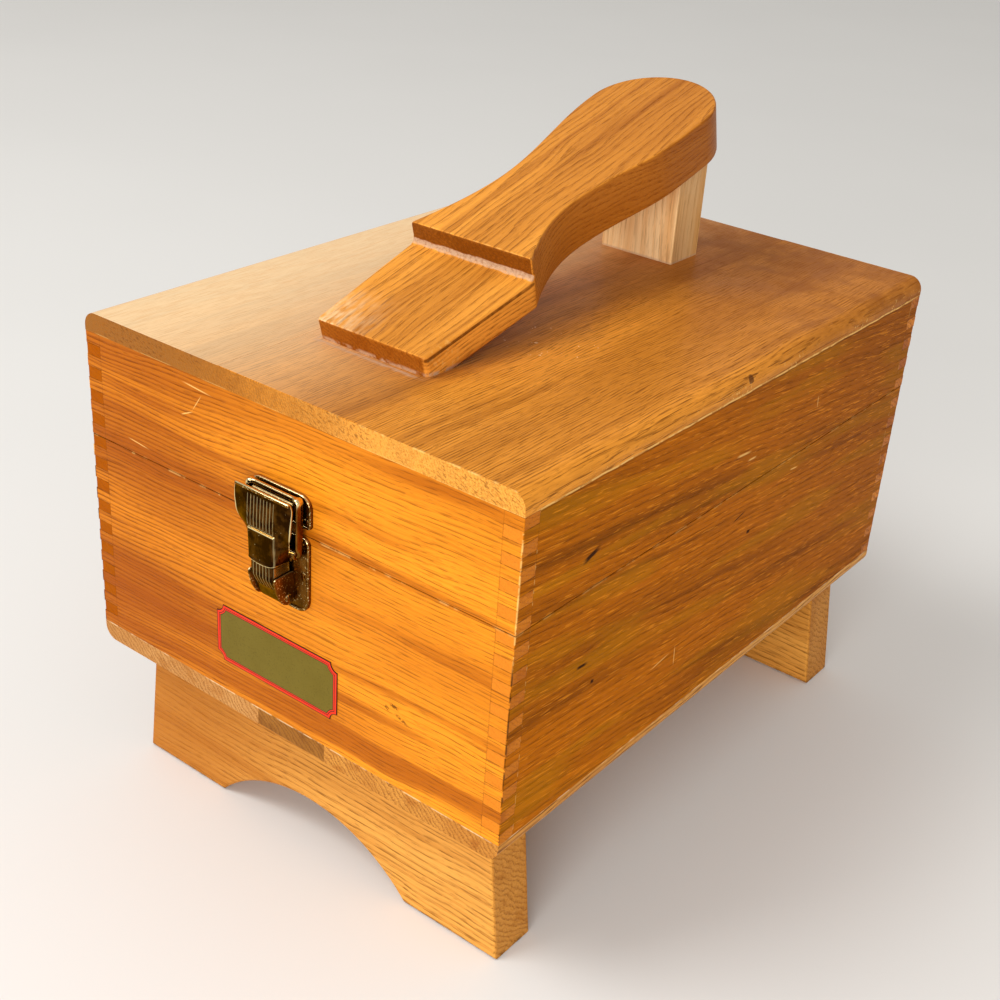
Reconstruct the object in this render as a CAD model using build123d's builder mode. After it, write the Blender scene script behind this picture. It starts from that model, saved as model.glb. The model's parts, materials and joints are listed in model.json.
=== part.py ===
from build123d import *
import os
from math import cos, radians, sin, tan

# Wooden shoe shine box: a finger-jointed oak box sawn into a body and a hinged lid, standing on two
# arched foot boards, with a sole-shaped foot rest on the lid and a brass snap latch on the front.
# +X is to the right, +Y to the back (the hinge side) and +Z up. The origin is on the ground, under
# the middle of the box as it measures from the tip of the latch to the back of the hinges.

os.makedirs("parts", exist_ok=True)

# ---- Driving dimensions, in millimetres and degrees ---------------------------------------------
# Box and lid
box_width = 250.0
box_length = 344.0
box_height = 173.5
wall_thickness = 9.5
top_thickness = 9.5
bottom_thickness = 9.5
lid_finger_count = 9
body_finger_count = 18
seam_gap = 0.4
long_edge_radius = 7.0
left_top_stave_width = 87.0
middle_top_stave_width = 80.0
left_bottom_stave_width = 108.5
middle_bottom_stave_width = 42.0

# Foot boards
foot_height = 72.8
foot_thickness = 25.4
foot_top_width = 216.0
foot_bottom_width = 233.0
arch_width = 122.0
arch_height = 26.5
foot_edge_radius = 1.5
front_foot_setback = 17.0
rear_foot_setback = 6.0

# Foot rest: a sole-shaped board, stepped down at the heel and held up by a post at the toe
rest_slope = 15.7
rest_setback = 53.7
sole_thickness = 25.4
step_depth = 10.3
step_cove_radius = 3.0
heel_front_height = 9.9
heel_length = 70.9
heel_front_width = 62.4
heel_back_width = 70.2
heel_corner_radius = 3.0
toe_radius = 33.6
toe_shift = -0.7
toe_centre_distance = 145.4
right_waist = (22.2, 41.0)
right_ball = (29.6, 95.0)
left_waist = (-24.2, 52.0)
left_ball = (-29.4, 101.0)
post_setback = 258.5
post_width = 44.0
post_thickness = 25.4

# Wood screws: a countersunk head and a plain shank, in holes that clear them by screw_clearance
screw_clearance = 0.05
screw_slot_width = 0.9
screw_slot_depth = 0.7
foot_screw_length = 34.0
foot_screw_radius = 2.1
foot_screw_head_radius = 4.0
foot_screw_head_depth = 2.6
foot_screw_spacing = 75.0
heel_screw_length = 16.0
post_screw_length = 32.0
rest_screw_radius = 1.9
rest_screw_head_radius = 3.6
rest_screw_head_depth = 2.4
rest_screw_spacing = 24.0
heel_screw_inset = 9.0
hinge_screw_length = 8.0
hinge_screw_radius = 1.2
hinge_screw_head_radius = 2.2
hinge_screw_head_depth = 1.0

# Butt hinges, on the back of the box
hinge_inset = 50.0
hinge_length = 38.0
hinge_leaf_height = 16.0
hinge_leaf_thickness = 1.2
hinge_knuckle_radius = 2.5
hinge_pin_radius = 1.2
hinge_pin_clearance = 0.05
hinge_knuckle_gap = 0.4
hinge_stand_off = 0.3

# Latch, on the front of the box
latch_plate_thickness = 1.0
latch_corner_radius = 2.0
strike_width = 36.0
strike_height = 17.5
strike_rise = 4.0
strike_rim = 1.2
strike_rim_height = 0.6
lip_length = 24.0
lip_radius = 2.0
lip_web_thickness = 1.2
base_width = 34.0
base_height = 37.0
base_drop = 0.7
ear_thickness = 1.2
ear_radius = 3.4
pivot_drop = 30.5
pivot_offset = 4.5
pivot_pin_radius = 1.2
pivot_pin_clearance = 0.05
pivot_head_radius = 2.0
pivot_head_thickness = 0.7
lever_sheet = 1.0
lever_knuckle_radius = 2.5
lever_reach = 50.0
lever_tip_projection = 13.5
lever_bead_radius = 0.9
lever_flare_start = 18.0
lever_width = 26.0
lever_tip_width = 34.0
lever_side_gap = 0.4
boss_width = 16.0
boss_height = 13.0
boss_offset = 10.4
boss_rise = 17.0
boss_corner_radius = 2.0
tab_thickness = 1.0
tab_radius = 2.2
bail_wire_radius = 1.1
bail_width = 29.2
bail_reach = 26.4
bail_pivot_rise = 23.0
bail_offset = 4.6
bail_corner_radius = 1.5
bail_pivot_clearance = 0.05
bail_lip_gap = 0.3
nail_head_radius = 1.5
nail_head_height = 0.7
nail_radius = 0.75
nail_length = 8.0
nail_inset = 3.2

# Blank label plate
label_width = 75.5
label_height = 30.0
label_thickness = 0.4
label_corner_notch = 4.0
label_shift = -4.5
label_drop = 56.5

# ---- Worked-out places ---------------------------------------------------------------------------
hinge_axis_offset = hinge_stand_off + hinge_knuckle_radius
latch_projection = lever_tip_projection
hinge_projection = hinge_axis_offset + hinge_knuckle_radius
overall_length = latch_projection + box_length + hinge_projection

box_left = -box_width / 2
box_right = box_width / 2
box_front = latch_projection - overall_length / 2
box_back = box_front + box_length
box_middle = (box_front + box_back) / 2

bottom_face = foot_height
lid_top = bottom_face + box_height
carcass_base = bottom_face + bottom_thickness
carcass_top = lid_top - top_thickness
finger_count = lid_finger_count + body_finger_count
finger_height = (carcass_top - carcass_base) / finger_count
seam = carcass_top - lid_finger_count * finger_height
lid_low = seam + seam_gap / 2
body_high = seam - seam_gap / 2

hinge_axis_y = box_back + hinge_axis_offset
strike_low = seam + strike_rise
strike_high = strike_low + strike_height
base_high = seam - base_drop
base_low = base_high - base_height
pivot_y = box_front - pivot_offset
pivot_z = base_high - pivot_drop
bail_y = box_front - bail_offset
bail_pivot_z = pivot_z + bail_pivot_rise
bail_bar_z = bail_pivot_z + bail_reach
lip_z = bail_bar_z - bail_wire_radius - bail_lip_gap - lip_radius


# ---- Shared shapes -------------------------------------------------------------------------------
def finger_centres(first, last, parity):
    """Heights of the fingers first to last, counted down from the top, of one parity."""
    return [carcass_top - (i + 0.5) * finger_height for i in range(first, last) if i % 2 == parity]


def finger_wall(centre, span, low, high, notches):
    """Sketch of a wall seen from outside, with a notch at both ends at each height in notches."""
    with Locations((centre, (low + high) / 2)):
        Rectangle(span, high - low)
    ends = [centre - (span - wall_thickness) / 2, centre + (span - wall_thickness) / 2]
    with Locations(*[(end, height) for end in ends for height in notches]):
        Rectangle(wall_thickness, finger_height, mode=Mode.SUBTRACT)


def cross_section(left, right, low, high):
    """Sketch of a stave seen from the front."""
    with Locations(((left + right) / 2, (low + high) / 2)):
        Rectangle(right - left, high - low)


def facing_back(x, y, z):
    """Place on a vertical face, with its depth running towards the front."""
    return Plane(origin=(x, y, z), x_dir=(-1, 0, 0), z_dir=(0, 1, 0))


def facing_front(x, y, z):
    """Place on a vertical face, with its depth running towards the back."""
    return Plane(origin=(x, y, z), x_dir=(1, 0, 0), z_dir=(0, -1, 0))


def facing_down(x, y, z):
    """Place on a level face, with its depth running upwards."""
    return Plane(origin=(x, y, z), x_dir=(1, 0, 0), z_dir=(0, 0, -1))


def facing_up(x, y, z):
    """Place on a level face, with its depth running downwards."""
    return Plane(origin=(x, y, z), x_dir=(1, 0, 0), z_dir=(0, 0, 1))


def screw_holes(places, radius, head_radius, depth):
    """Countersunk holes that clear a screw of the given shank and head."""
    with Locations(*places):
        CounterSinkHole(radius + screw_clearance, head_radius + screw_clearance, depth, 90)


def pilot_holes(places, radius, depth):
    """Blind holes that clear the shank of a screw or nail."""
    with Locations(*places):
        Hole(radius + screw_clearance, depth)


def screws(places, length, radius, head_radius):
    """Countersunk screws with a slot, as separate solids, one at each place."""
    head_depth = head_radius - radius
    sunk = (Align.CENTER, Align.CENTER, Align.MAX)
    with Locations(*places):
        Cylinder(radius, length, align=sunk)
        Cone(radius, head_radius, head_depth, align=sunk)
        Box(2 * head_radius, screw_slot_width, screw_slot_depth, align=sunk, mode=Mode.SUBTRACT)


def nails(places):
    """Round-headed nails, as separate solids, one at each place."""
    with Locations(*places):
        Cylinder(nail_head_radius, nail_head_height, align=(Align.CENTER, Align.CENTER, Align.MIN))
        Cylinder(nail_radius, nail_length, align=(Align.CENTER, Align.CENTER, Align.MAX))


def rod_along_x(low, high, y, z, radius, mode=Mode.ADD):
    """Round rod, or hole, along X from low to high."""
    with BuildSketch(Plane.YZ.offset(low)) as section:
        with Locations((y, z)):
            Circle(radius)
    extrude(section.sketch, amount=high - low, mode=mode)


# ---- Screw and nail places -----------------------------------------------------------------------
foot_screw_xs = [-foot_screw_spacing, 0, foot_screw_spacing]
front_foot_front = box_front + front_foot_setback
rear_foot_front = box_back - rear_foot_setback - foot_thickness
foot_fronts = {"front": front_foot_front, "rear": rear_foot_front}
foot_screw_places = {
    name: [facing_up(x, front + foot_thickness / 2, carcass_base) for x in foot_screw_xs]
    for name, front in foot_fronts.items()
}

rest_front = box_front + rest_setback
post_front = box_front + post_setback
rest_screw_xs = [-rest_screw_spacing / 2, rest_screw_spacing / 2]
heel_screw_places = [facing_down(x, rest_front + heel_screw_inset, carcass_top) for x in rest_screw_xs]
post_screw_places = [facing_down(x, post_front + post_thickness / 2, carcass_top) for x in rest_screw_xs]

hinge_xs = {"left": box_left + hinge_inset, "right": box_right - hinge_inset}
hinge_screw_reach = hinge_leaf_height * 0.62
hinge_screw_steps = [-hinge_length / 3, 0, hinge_length / 3]


def hinge_screw_places(hinge_x, side):
    """The three screws of one leaf, above the axis for side 1 and below it for side -1."""
    height = seam + side * hinge_screw_reach
    return [facing_back(hinge_x + step, box_back + hinge_leaf_thickness, height)
            for step in hinge_screw_steps]


all_lid_hinge_screws = [place for x in hinge_xs.values() for place in hinge_screw_places(x, 1)]
all_body_hinge_screws = [place for x in hinge_xs.values() for place in hinge_screw_places(x, -1)]

plate_front = box_front - latch_plate_thickness
strike_nail_x = strike_width / 2 - nail_inset
strike_nail_places = [facing_front(x, plate_front, strike_low + nail_inset)
                      for x in (-strike_nail_x, strike_nail_x)]
base_nail_x = base_width / 2 - nail_inset
base_nail_places = [facing_front(x, plate_front, z)
                    for x in (-base_nail_x, base_nail_x)
                    for z in (base_high - nail_inset, base_high - base_height / 2)]

# ---- Body: four walls with finger joints ---------------------------------------------------------
body_fingers = (lid_finger_count, finger_count)
side_finger_heights = finger_centres(*body_fingers, parity=1)
front_finger_heights = finger_centres(*body_fingers, parity=0)

with BuildPart() as front_panel:
    with BuildSketch(Plane.XZ.offset(-box_front)):
        finger_wall(0, box_width, carcass_base, body_high, side_finger_heights)
    extrude(amount=-wall_thickness)
    pilot_holes(base_nail_places, nail_radius, nail_length)
front_panel.part.label = "front_panel"
export_step(front_panel.part, "parts/front_panel.step")

with BuildPart() as back_panel:
    with BuildSketch(Plane.XZ.offset(-box_back)):
        finger_wall(0, box_width, carcass_base, body_high, side_finger_heights)
    extrude(amount=wall_thickness)
    pilot_holes(all_body_hinge_screws, hinge_screw_radius, hinge_screw_length)
back_panel.part.label = "back_panel"
export_step(back_panel.part, "parts/back_panel.step")

with BuildPart() as left_panel:
    with BuildSketch(Plane.YZ.offset(box_left)):
        finger_wall(box_middle, box_length, carcass_base, body_high, front_finger_heights)
    extrude(amount=wall_thickness)
left_panel.part.label = "left_panel"
export_step(left_panel.part, "parts/left_panel.step")

with BuildPart() as right_panel:
    with BuildSketch(Plane.YZ.offset(box_right)):
        finger_wall(box_middle, box_length, carcass_base, body_high, front_finger_heights)
    extrude(amount=-wall_thickness)
right_panel.part.label = "right_panel"
export_step(right_panel.part, "parts/right_panel.step")

# ---- Bottom: three staves glued edge to edge, grain front to back --------------------------------
bottom_joint_left = box_left + left_bottom_stave_width
bottom_joint_right = bottom_joint_left + middle_bottom_stave_width


def bottom_screw_holes(left, right):
    """Countersunk holes for the foot screws that fall within one stave."""
    places = [place for row in foot_screw_places.values() for place in row
              if left < place.origin.X < right]
    if places:
        screw_holes(places, foot_screw_radius, foot_screw_head_radius, bottom_thickness)


with BuildPart() as bottom_stave_left:
    with BuildSketch(Plane.XZ.offset(-box_front)) as section:
        cross_section(box_left, bottom_joint_left, bottom_face, carcass_base)
        fillet(section.vertices().sort_by(Axis.X)[:2].sort_by(Axis.Y)[0], long_edge_radius)
    extrude(amount=-box_length)
    bottom_screw_holes(box_left, bottom_joint_left)
bottom_stave_left.part.label = "bottom_stave_left"
export_step(bottom_stave_left.part, "parts/bottom_stave_left.step")

with BuildPart() as bottom_stave_middle:
    with BuildSketch(Plane.XZ.offset(-box_front)):
        cross_section(bottom_joint_left, bottom_joint_right, bottom_face, carcass_base)
    extrude(amount=-box_length)
    bottom_screw_holes(bottom_joint_left, bottom_joint_right)
bottom_stave_middle.part.label = "bottom_stave_middle"
export_step(bottom_stave_middle.part, "parts/bottom_stave_middle.step")

with BuildPart() as bottom_stave_right:
    with BuildSketch(Plane.XZ.offset(-box_front)) as section:
        cross_section(bottom_joint_right, box_right, bottom_face, carcass_base)
        fillet(section.vertices().sort_by(Axis.X)[-2:].sort_by(Axis.Y)[0], long_edge_radius)
    extrude(amount=-box_length)
    bottom_screw_holes(bottom_joint_right, box_right)
bottom_stave_right.part.label = "bottom_stave_right"
export_step(bottom_stave_right.part, "parts/bottom_stave_right.step")

# ---- Foot boards: splayed ends and an arch below, screwed on from inside the box -----------------
for name, front in foot_fronts.items():
    with BuildPart() as foot:
        with BuildSketch(Plane.XZ.offset(-front)):
            with BuildLine():
                Polyline(
                    (arch_width / 2, 0),
                    (foot_bottom_width / 2, 0),
                    (foot_top_width / 2, foot_height),
                    (-foot_top_width / 2, foot_height),
                    (-foot_bottom_width / 2, 0),
                    (-arch_width / 2, 0),
                )
                ThreePointArc((-arch_width / 2, 0), (0, arch_height), (arch_width / 2, 0))
            make_face()
        extrude(amount=-foot_thickness)
        below_top = foot.edges().filter_by_position(Axis.Z, -foot_edge_radius, foot_height - foot_edge_radius)
        fillet(below_top.filter_by(Axis.Y, reverse=True), foot_edge_radius)
        pilot_holes(
            [facing_up(place.origin.X, place.origin.Y, foot_height) for place in foot_screw_places[name]],
            foot_screw_radius,
            foot_screw_length - bottom_thickness,
        )
    foot.part.label = f"{name}_foot"
    export_step(foot.part, f"parts/{name}_foot.step")

    with BuildPart() as foot_screws:
        screws(foot_screw_places[name], foot_screw_length, foot_screw_radius, foot_screw_head_radius)
    foot_screws.part.label = f"{name}_foot_screws"
    export_step(foot_screws.part, f"parts/{name}_foot_screws.step")

# ---- Lid: four rails with finger joints ----------------------------------------------------------
lid_fingers = (0, lid_finger_count)
lid_side_finger_heights = finger_centres(*lid_fingers, parity=1)
lid_front_finger_heights = finger_centres(*lid_fingers, parity=0)

with BuildPart() as lid_front_rail:
    with BuildSketch(Plane.XZ.offset(-box_front)):
        finger_wall(0, box_width, lid_low, carcass_top, lid_side_finger_heights)
    extrude(amount=-wall_thickness)
    pilot_holes(strike_nail_places, nail_radius, nail_length)
lid_front_rail.part.label = "lid_front_rail"
export_step(lid_front_rail.part, "parts/lid_front_rail.step")

with BuildPart() as lid_back_rail:
    with BuildSketch(Plane.XZ.offset(-box_back)):
        finger_wall(0, box_width, lid_low, carcass_top, lid_side_finger_heights)
    extrude(amount=wall_thickness)
    pilot_holes(all_lid_hinge_screws, hinge_screw_radius, hinge_screw_length)
lid_back_rail.part.label = "lid_back_rail"
export_step(lid_back_rail.part, "parts/lid_back_rail.step")

with BuildPart() as lid_left_rail:
    with BuildSketch(Plane.YZ.offset(box_left)):
        finger_wall(box_middle, box_length, lid_low, carcass_top, lid_front_finger_heights)
    extrude(amount=wall_thickness)
lid_left_rail.part.label = "lid_left_rail"
export_step(lid_left_rail.part, "parts/lid_left_rail.step")

with BuildPart() as lid_right_rail:
    with BuildSketch(Plane.YZ.offset(box_right)):
        finger_wall(box_middle, box_length, lid_low, carcass_top, lid_front_finger_heights)
    extrude(amount=-wall_thickness)
lid_right_rail.part.label = "lid_right_rail"
export_step(lid_right_rail.part, "parts/lid_right_rail.step")

# ---- Lid top: three staves glued edge to edge, grain front to back -------------------------------
top_joint_left = box_left + left_top_stave_width
top_joint_right = top_joint_left + middle_top_stave_width


def top_screw_holes(left, right):
    """Countersunk holes, from inside the lid, for the foot rest screws within one stave."""
    places = [place for place in heel_screw_places + post_screw_places
              if left < place.origin.X < right]
    if places:
        screw_holes(places, rest_screw_radius, rest_screw_head_radius, top_thickness)


with BuildPart() as top_stave_left:
    with BuildSketch(Plane.XZ.offset(-box_front)) as section:
        cross_section(box_left, top_joint_left, carcass_top, lid_top)
        fillet(section.vertices().sort_by(Axis.X)[:2].sort_by(Axis.Y)[-1], long_edge_radius)
    extrude(amount=-box_length)
    top_screw_holes(box_left, top_joint_left)
top_stave_left.part.label = "top_stave_left"
export_step(top_stave_left.part, "parts/top_stave_left.step")

with BuildPart() as top_stave_middle:
    with BuildSketch(Plane.XZ.offset(-box_front)):
        cross_section(top_joint_left, top_joint_right, carcass_top, lid_top)
    extrude(amount=-box_length)
    top_screw_holes(top_joint_left, top_joint_right)
top_stave_middle.part.label = "top_stave_middle"
export_step(top_stave_middle.part, "parts/top_stave_middle.step")

with BuildPart() as top_stave_right:
    with BuildSketch(Plane.XZ.offset(-box_front)) as section:
        cross_section(top_joint_right, box_right, carcass_top, lid_top)
        fillet(section.vertices().sort_by(Axis.X)[-2:].sort_by(Axis.Y)[-1], long_edge_radius)
    extrude(amount=-box_length)
    top_screw_holes(top_joint_right, box_right)
top_stave_right.part.label = "top_stave_right"
export_step(top_stave_right.part, "parts/top_stave_right.step")

# ---- Foot rest -----------------------------------------------------------------------------------
# The board lies on a slope. Its front face stands square to the slope on the lid, and the wedge of
# board that would sink into the lid is sawn off level.
slope_sine = sin(radians(rest_slope))
slope_cosine = cos(radians(rest_slope))
front_face_height = heel_front_height + step_depth
sole_top_y = rest_front - front_face_height * slope_sine
sole_top_z = lid_top + front_face_height * slope_cosine
sole_top = Plane(origin=(0, sole_top_y, sole_top_z), x_dir=(1, 0, 0), z_dir=(0, -slope_sine, slope_cosine))
sole_side = Plane(origin=sole_top.origin, x_dir=(0, slope_cosine, slope_sine), z_dir=(1, 0, 0))
step_end = heel_length
toe_centre = step_end + toe_centre_distance


def sole_underside(y):
    """Height of the flat underside of the sole above a point y."""
    under_y = sole_top_y + sole_thickness * slope_sine
    under_z = sole_top_z - sole_thickness * slope_cosine
    return under_z + (y - under_y) * tan(radians(rest_slope))


with BuildPart() as footrest_sole:
    with BuildSketch(sole_top):
        with BuildLine():
            Polyline(
                (-heel_back_width / 2, step_end),
                (-heel_front_width / 2, 0),
                (heel_front_width / 2, 0),
                (heel_back_width / 2, step_end),
            )
            Spline(
                (heel_back_width / 2, step_end),
                (right_waist[0], step_end + right_waist[1]),
                (right_ball[0], step_end + right_ball[1]),
                (toe_shift + toe_radius, toe_centre),
                tangents=((-0.5, 1), (0, 1)),
            )
            ThreePointArc(
                (toe_shift + toe_radius, toe_centre),
                (toe_shift, toe_centre + toe_radius),
                (toe_shift - toe_radius, toe_centre),
            )
            Spline(
                (toe_shift - toe_radius, toe_centre),
                (left_ball[0], step_end + left_ball[1]),
                (left_waist[0], step_end + left_waist[1]),
                (-heel_back_width / 2, step_end),
                tangents=((0, -1), (-0.35, -1)),
            )
        make_face()
    extrude(amount=-sole_thickness)
    upright = footrest_sole.edges().filter_by(Axis(sole_top.origin, sole_top.z_dir))
    fillet(upright.sort_by(Axis.Y)[:2], heel_corner_radius)
    with BuildSketch(sole_side):
        with BuildLine():
            over = step_depth + heel_front_height
            Polyline(
                (step_end, -step_depth + step_cove_radius),
                (step_end, over),
                (-over, over),
                (-over, -step_depth),
                (step_end - step_cove_radius, -step_depth),
            )
            ThreePointArc(
                (step_end - step_cove_radius, -step_depth),
                (
                    step_end - step_cove_radius * (1 - sin(radians(45))),
                    -step_depth + step_cove_radius * (1 - cos(radians(45))),
                ),
                (step_end, -step_depth + step_cove_radius),
            )
        make_face()
    extrude(amount=heel_back_width, both=True, mode=Mode.SUBTRACT)
    split(bisect_by=Plane.XY.offset(lid_top), keep=Keep.TOP)
    heel_pilots = [facing_down(place.origin.X, place.origin.Y, lid_top) for place in heel_screw_places]
    pilot_holes(heel_pilots, rest_screw_radius, heel_screw_length - top_thickness)
footrest_sole.part.label = "footrest_sole"
export_step(footrest_sole.part, "parts/footrest_sole.step")

with BuildPart() as footrest_post:
    with BuildSketch(Plane.YZ):
        with BuildLine():
            Polyline(
                (post_front, lid_top),
                (post_front + post_thickness, lid_top),
                (post_front + post_thickness, sole_underside(post_front + post_thickness)),
                (post_front, sole_underside(post_front)),
                close=True,
            )
        make_face()
    extrude(amount=post_width / 2, both=True)
    post_pilots = [facing_down(place.origin.X, place.origin.Y, lid_top) for place in post_screw_places]
    pilot_holes(post_pilots, rest_screw_radius, post_screw_length - top_thickness)
footrest_post.part.label = "footrest_post"
export_step(footrest_post.part, "parts/footrest_post.step")

with BuildPart() as footrest_heel_screws:
    screws(heel_screw_places, heel_screw_length, rest_screw_radius, rest_screw_head_radius)
footrest_heel_screws.part.label = "footrest_heel_screws"
export_step(footrest_heel_screws.part, "parts/footrest_heel_screws.step")

with BuildPart() as footrest_post_screws:
    screws(post_screw_places, post_screw_length, rest_screw_radius, rest_screw_head_radius)
footrest_post_screws.part.label = "footrest_post_screws"
export_step(footrest_post_screws.part, "parts/footrest_post_screws.step")

# ---- Hinges --------------------------------------------------------------------------------------
# Each leaf is a flat plate on the back of the box. The body leaf carries the two outer knuckles and
# the pin, and the lid leaf carries the middle knuckle.
knuckle_length = (hinge_length - 2 * hinge_knuckle_gap) / 3
knuckle_clear = hinge_knuckle_radius + hinge_knuckle_gap
web_start = hinge_knuckle_radius * 0.4


def hinge_leaf(hinge_x, side, knuckles, screw_places):
    """One leaf above (side 1) or below (side -1) the axis, with knuckles given as X spans."""
    with BuildSketch(Plane.XZ.offset(-box_back)) as leaf:
        with Locations((hinge_x, seam + side * (knuckle_clear + hinge_leaf_height) / 2)):
            Rectangle(hinge_length, hinge_leaf_height - knuckle_clear)
        for low, high in knuckles:
            with Locations(((low + high) / 2, seam + side * (web_start + hinge_leaf_height) / 2)):
                Rectangle(high - low, hinge_leaf_height - web_start)
    extrude(leaf.sketch, amount=-hinge_leaf_thickness)
    for low, high in knuckles:
        rod_along_x(low, high, hinge_axis_y, seam, hinge_knuckle_radius)
    screw_holes(screw_places, hinge_screw_radius, hinge_screw_head_radius, hinge_leaf_thickness)


for name, hinge_x in hinge_xs.items():
    left_end = hinge_x - hinge_length / 2
    right_end = hinge_x + hinge_length / 2
    outer_knuckles = [(left_end, left_end + knuckle_length), (right_end - knuckle_length, right_end)]
    middle_knuckle = [(hinge_x - knuckle_length / 2, hinge_x + knuckle_length / 2)]

    with BuildPart() as body_leaf:
        hinge_leaf(hinge_x, -1, outer_knuckles, hinge_screw_places(hinge_x, -1))
        rod_along_x(left_end, right_end, hinge_axis_y, seam, hinge_pin_radius, Mode.SUBTRACT)
    body_leaf.part.label = f"hinge_{name}_body_leaf"
    export_step(body_leaf.part, f"parts/hinge_{name}_body_leaf.step")

    with BuildPart() as lid_leaf:
        hinge_leaf(hinge_x, 1, middle_knuckle, hinge_screw_places(hinge_x, 1))
        bore_radius = hinge_pin_radius + hinge_pin_clearance
        rod_along_x(left_end, right_end, hinge_axis_y, seam, bore_radius, Mode.SUBTRACT)
    lid_leaf.part.label = f"hinge_{name}_lid_leaf"
    export_step(lid_leaf.part, f"parts/hinge_{name}_lid_leaf.step")

    with BuildPart() as hinge_pin:
        rod_along_x(left_end, right_end, hinge_axis_y, seam, hinge_pin_radius)
    hinge_pin.part.label = f"hinge_{name}_pin"
    export_step(hinge_pin.part, f"parts/hinge_{name}_pin.step")

with BuildPart() as hinge_body_screws:
    screws(all_body_hinge_screws, hinge_screw_length, hinge_screw_radius, hinge_screw_head_radius)
hinge_body_screws.part.label = "hinge_body_screws"
export_step(hinge_body_screws.part, "parts/hinge_body_screws.step")

with BuildPart() as hinge_lid_screws:
    screws(all_lid_hinge_screws, hinge_screw_length, hinge_screw_radius, hinge_screw_head_radius)
hinge_lid_screws.part.label = "hinge_lid_screws"
export_step(hinge_lid_screws.part, "parts/hinge_lid_screws.step")

# ---- Latch: strike plate on the lid --------------------------------------------------------------
# The lip is a rolled bar along the top of the strike plate, and the bail's bar sits just above it.
with BuildPart() as latch_strike_plate:
    with BuildSketch(Plane.XZ.offset(-box_front)):
        with Locations((0, (strike_low + strike_high) / 2)):
            RectangleRounded(strike_width, strike_height, latch_corner_radius)
    extrude(amount=latch_plate_thickness)
    with BuildSketch(Plane.XZ.offset(latch_plate_thickness - box_front)):
        with Locations((0, (strike_low + strike_high) / 2)):
            RectangleRounded(strike_width, strike_height, latch_corner_radius)
            RectangleRounded(
                strike_width - 2 * strike_rim,
                strike_height - 2 * strike_rim,
                latch_corner_radius - strike_rim / 2,
                mode=Mode.SUBTRACT,
            )
    extrude(amount=strike_rim_height)
    with BuildSketch(Plane.YZ.offset(-lip_length / 2)):
        with Locations((bail_y, lip_z)):
            Circle(lip_radius)
        with Locations(((plate_front + bail_y) / 2, lip_z)):
            Rectangle(plate_front - bail_y, lip_web_thickness)
    extrude(amount=lip_length)
    pilot_holes(strike_nail_places, nail_radius, latch_plate_thickness + strike_rim_height)
latch_strike_plate.part.label = "latch_strike_plate"
export_step(latch_strike_plate.part, "parts/latch_strike_plate.step")

with BuildPart() as latch_strike_nails:
    nails(strike_nail_places)
latch_strike_nails.part.label = "latch_strike_nails"
export_step(latch_strike_nails.part, "parts/latch_strike_nails.step")

# ---- Latch: base plate on the body, with an ear at each side for the pivot pin -------------------
ear_inner = lever_width / 2 + lever_side_gap
ear_spans = [(-ear_inner - ear_thickness, -ear_inner), (ear_inner, ear_inner + ear_thickness)]

with BuildPart() as latch_base_plate:
    with BuildSketch(Plane.XZ.offset(-box_front)):
        with Locations((0, (base_high + base_low) / 2)):
            RectangleRounded(base_width, base_height, latch_corner_radius)
    extrude(amount=latch_plate_thickness)
    for low, high in ear_spans:
        with BuildSketch(Plane.YZ.offset(low)):
            with Locations((pivot_y, pivot_z)):
                Circle(ear_radius)
            with Locations(((plate_front + pivot_y) / 2, pivot_z)):
                Rectangle(plate_front - pivot_y, 2 * ear_radius)
        extrude(amount=high - low)
    rod_along_x(ear_spans[0][0], ear_spans[1][1], pivot_y, pivot_z, pivot_pin_radius, Mode.SUBTRACT)
    pilot_holes(base_nail_places, nail_radius, latch_plate_thickness)
latch_base_plate.part.label = "latch_base_plate"
export_step(latch_base_plate.part, "parts/latch_base_plate.step")

with BuildPart() as latch_base_nails:
    nails(base_nail_places)
latch_base_nails.part.label = "latch_base_nails"
export_step(latch_base_nails.part, "parts/latch_base_nails.step")

with BuildPart() as latch_pivot_pin:
    ear_outer = ear_spans[1][1]
    rod_along_x(-ear_outer, ear_outer, pivot_y, pivot_z, pivot_pin_radius)
    rod_along_x(-ear_outer - pivot_head_thickness, -ear_outer, pivot_y, pivot_z, pivot_head_radius)
    rod_along_x(ear_outer, ear_outer + pivot_head_thickness, pivot_y, pivot_z, pivot_head_radius)
latch_pivot_pin.part.label = "latch_pivot_pin"
export_step(latch_pivot_pin.part, "parts/latch_pivot_pin.step")

# ---- Latch: lever, a sheet that flares out from its barrel to a rolled tip -----------------------
sheet_face_y = pivot_y - lever_knuckle_radius
waist_z = pivot_z + lever_flare_start
waist_y = sheet_face_y - lever_sheet
tip_z = pivot_z + lever_reach
tip_y = box_front - lever_tip_projection + lever_bead_radius
boss_z = pivot_z + boss_rise
tab_x = lever_width / 2 - tab_thickness

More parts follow.
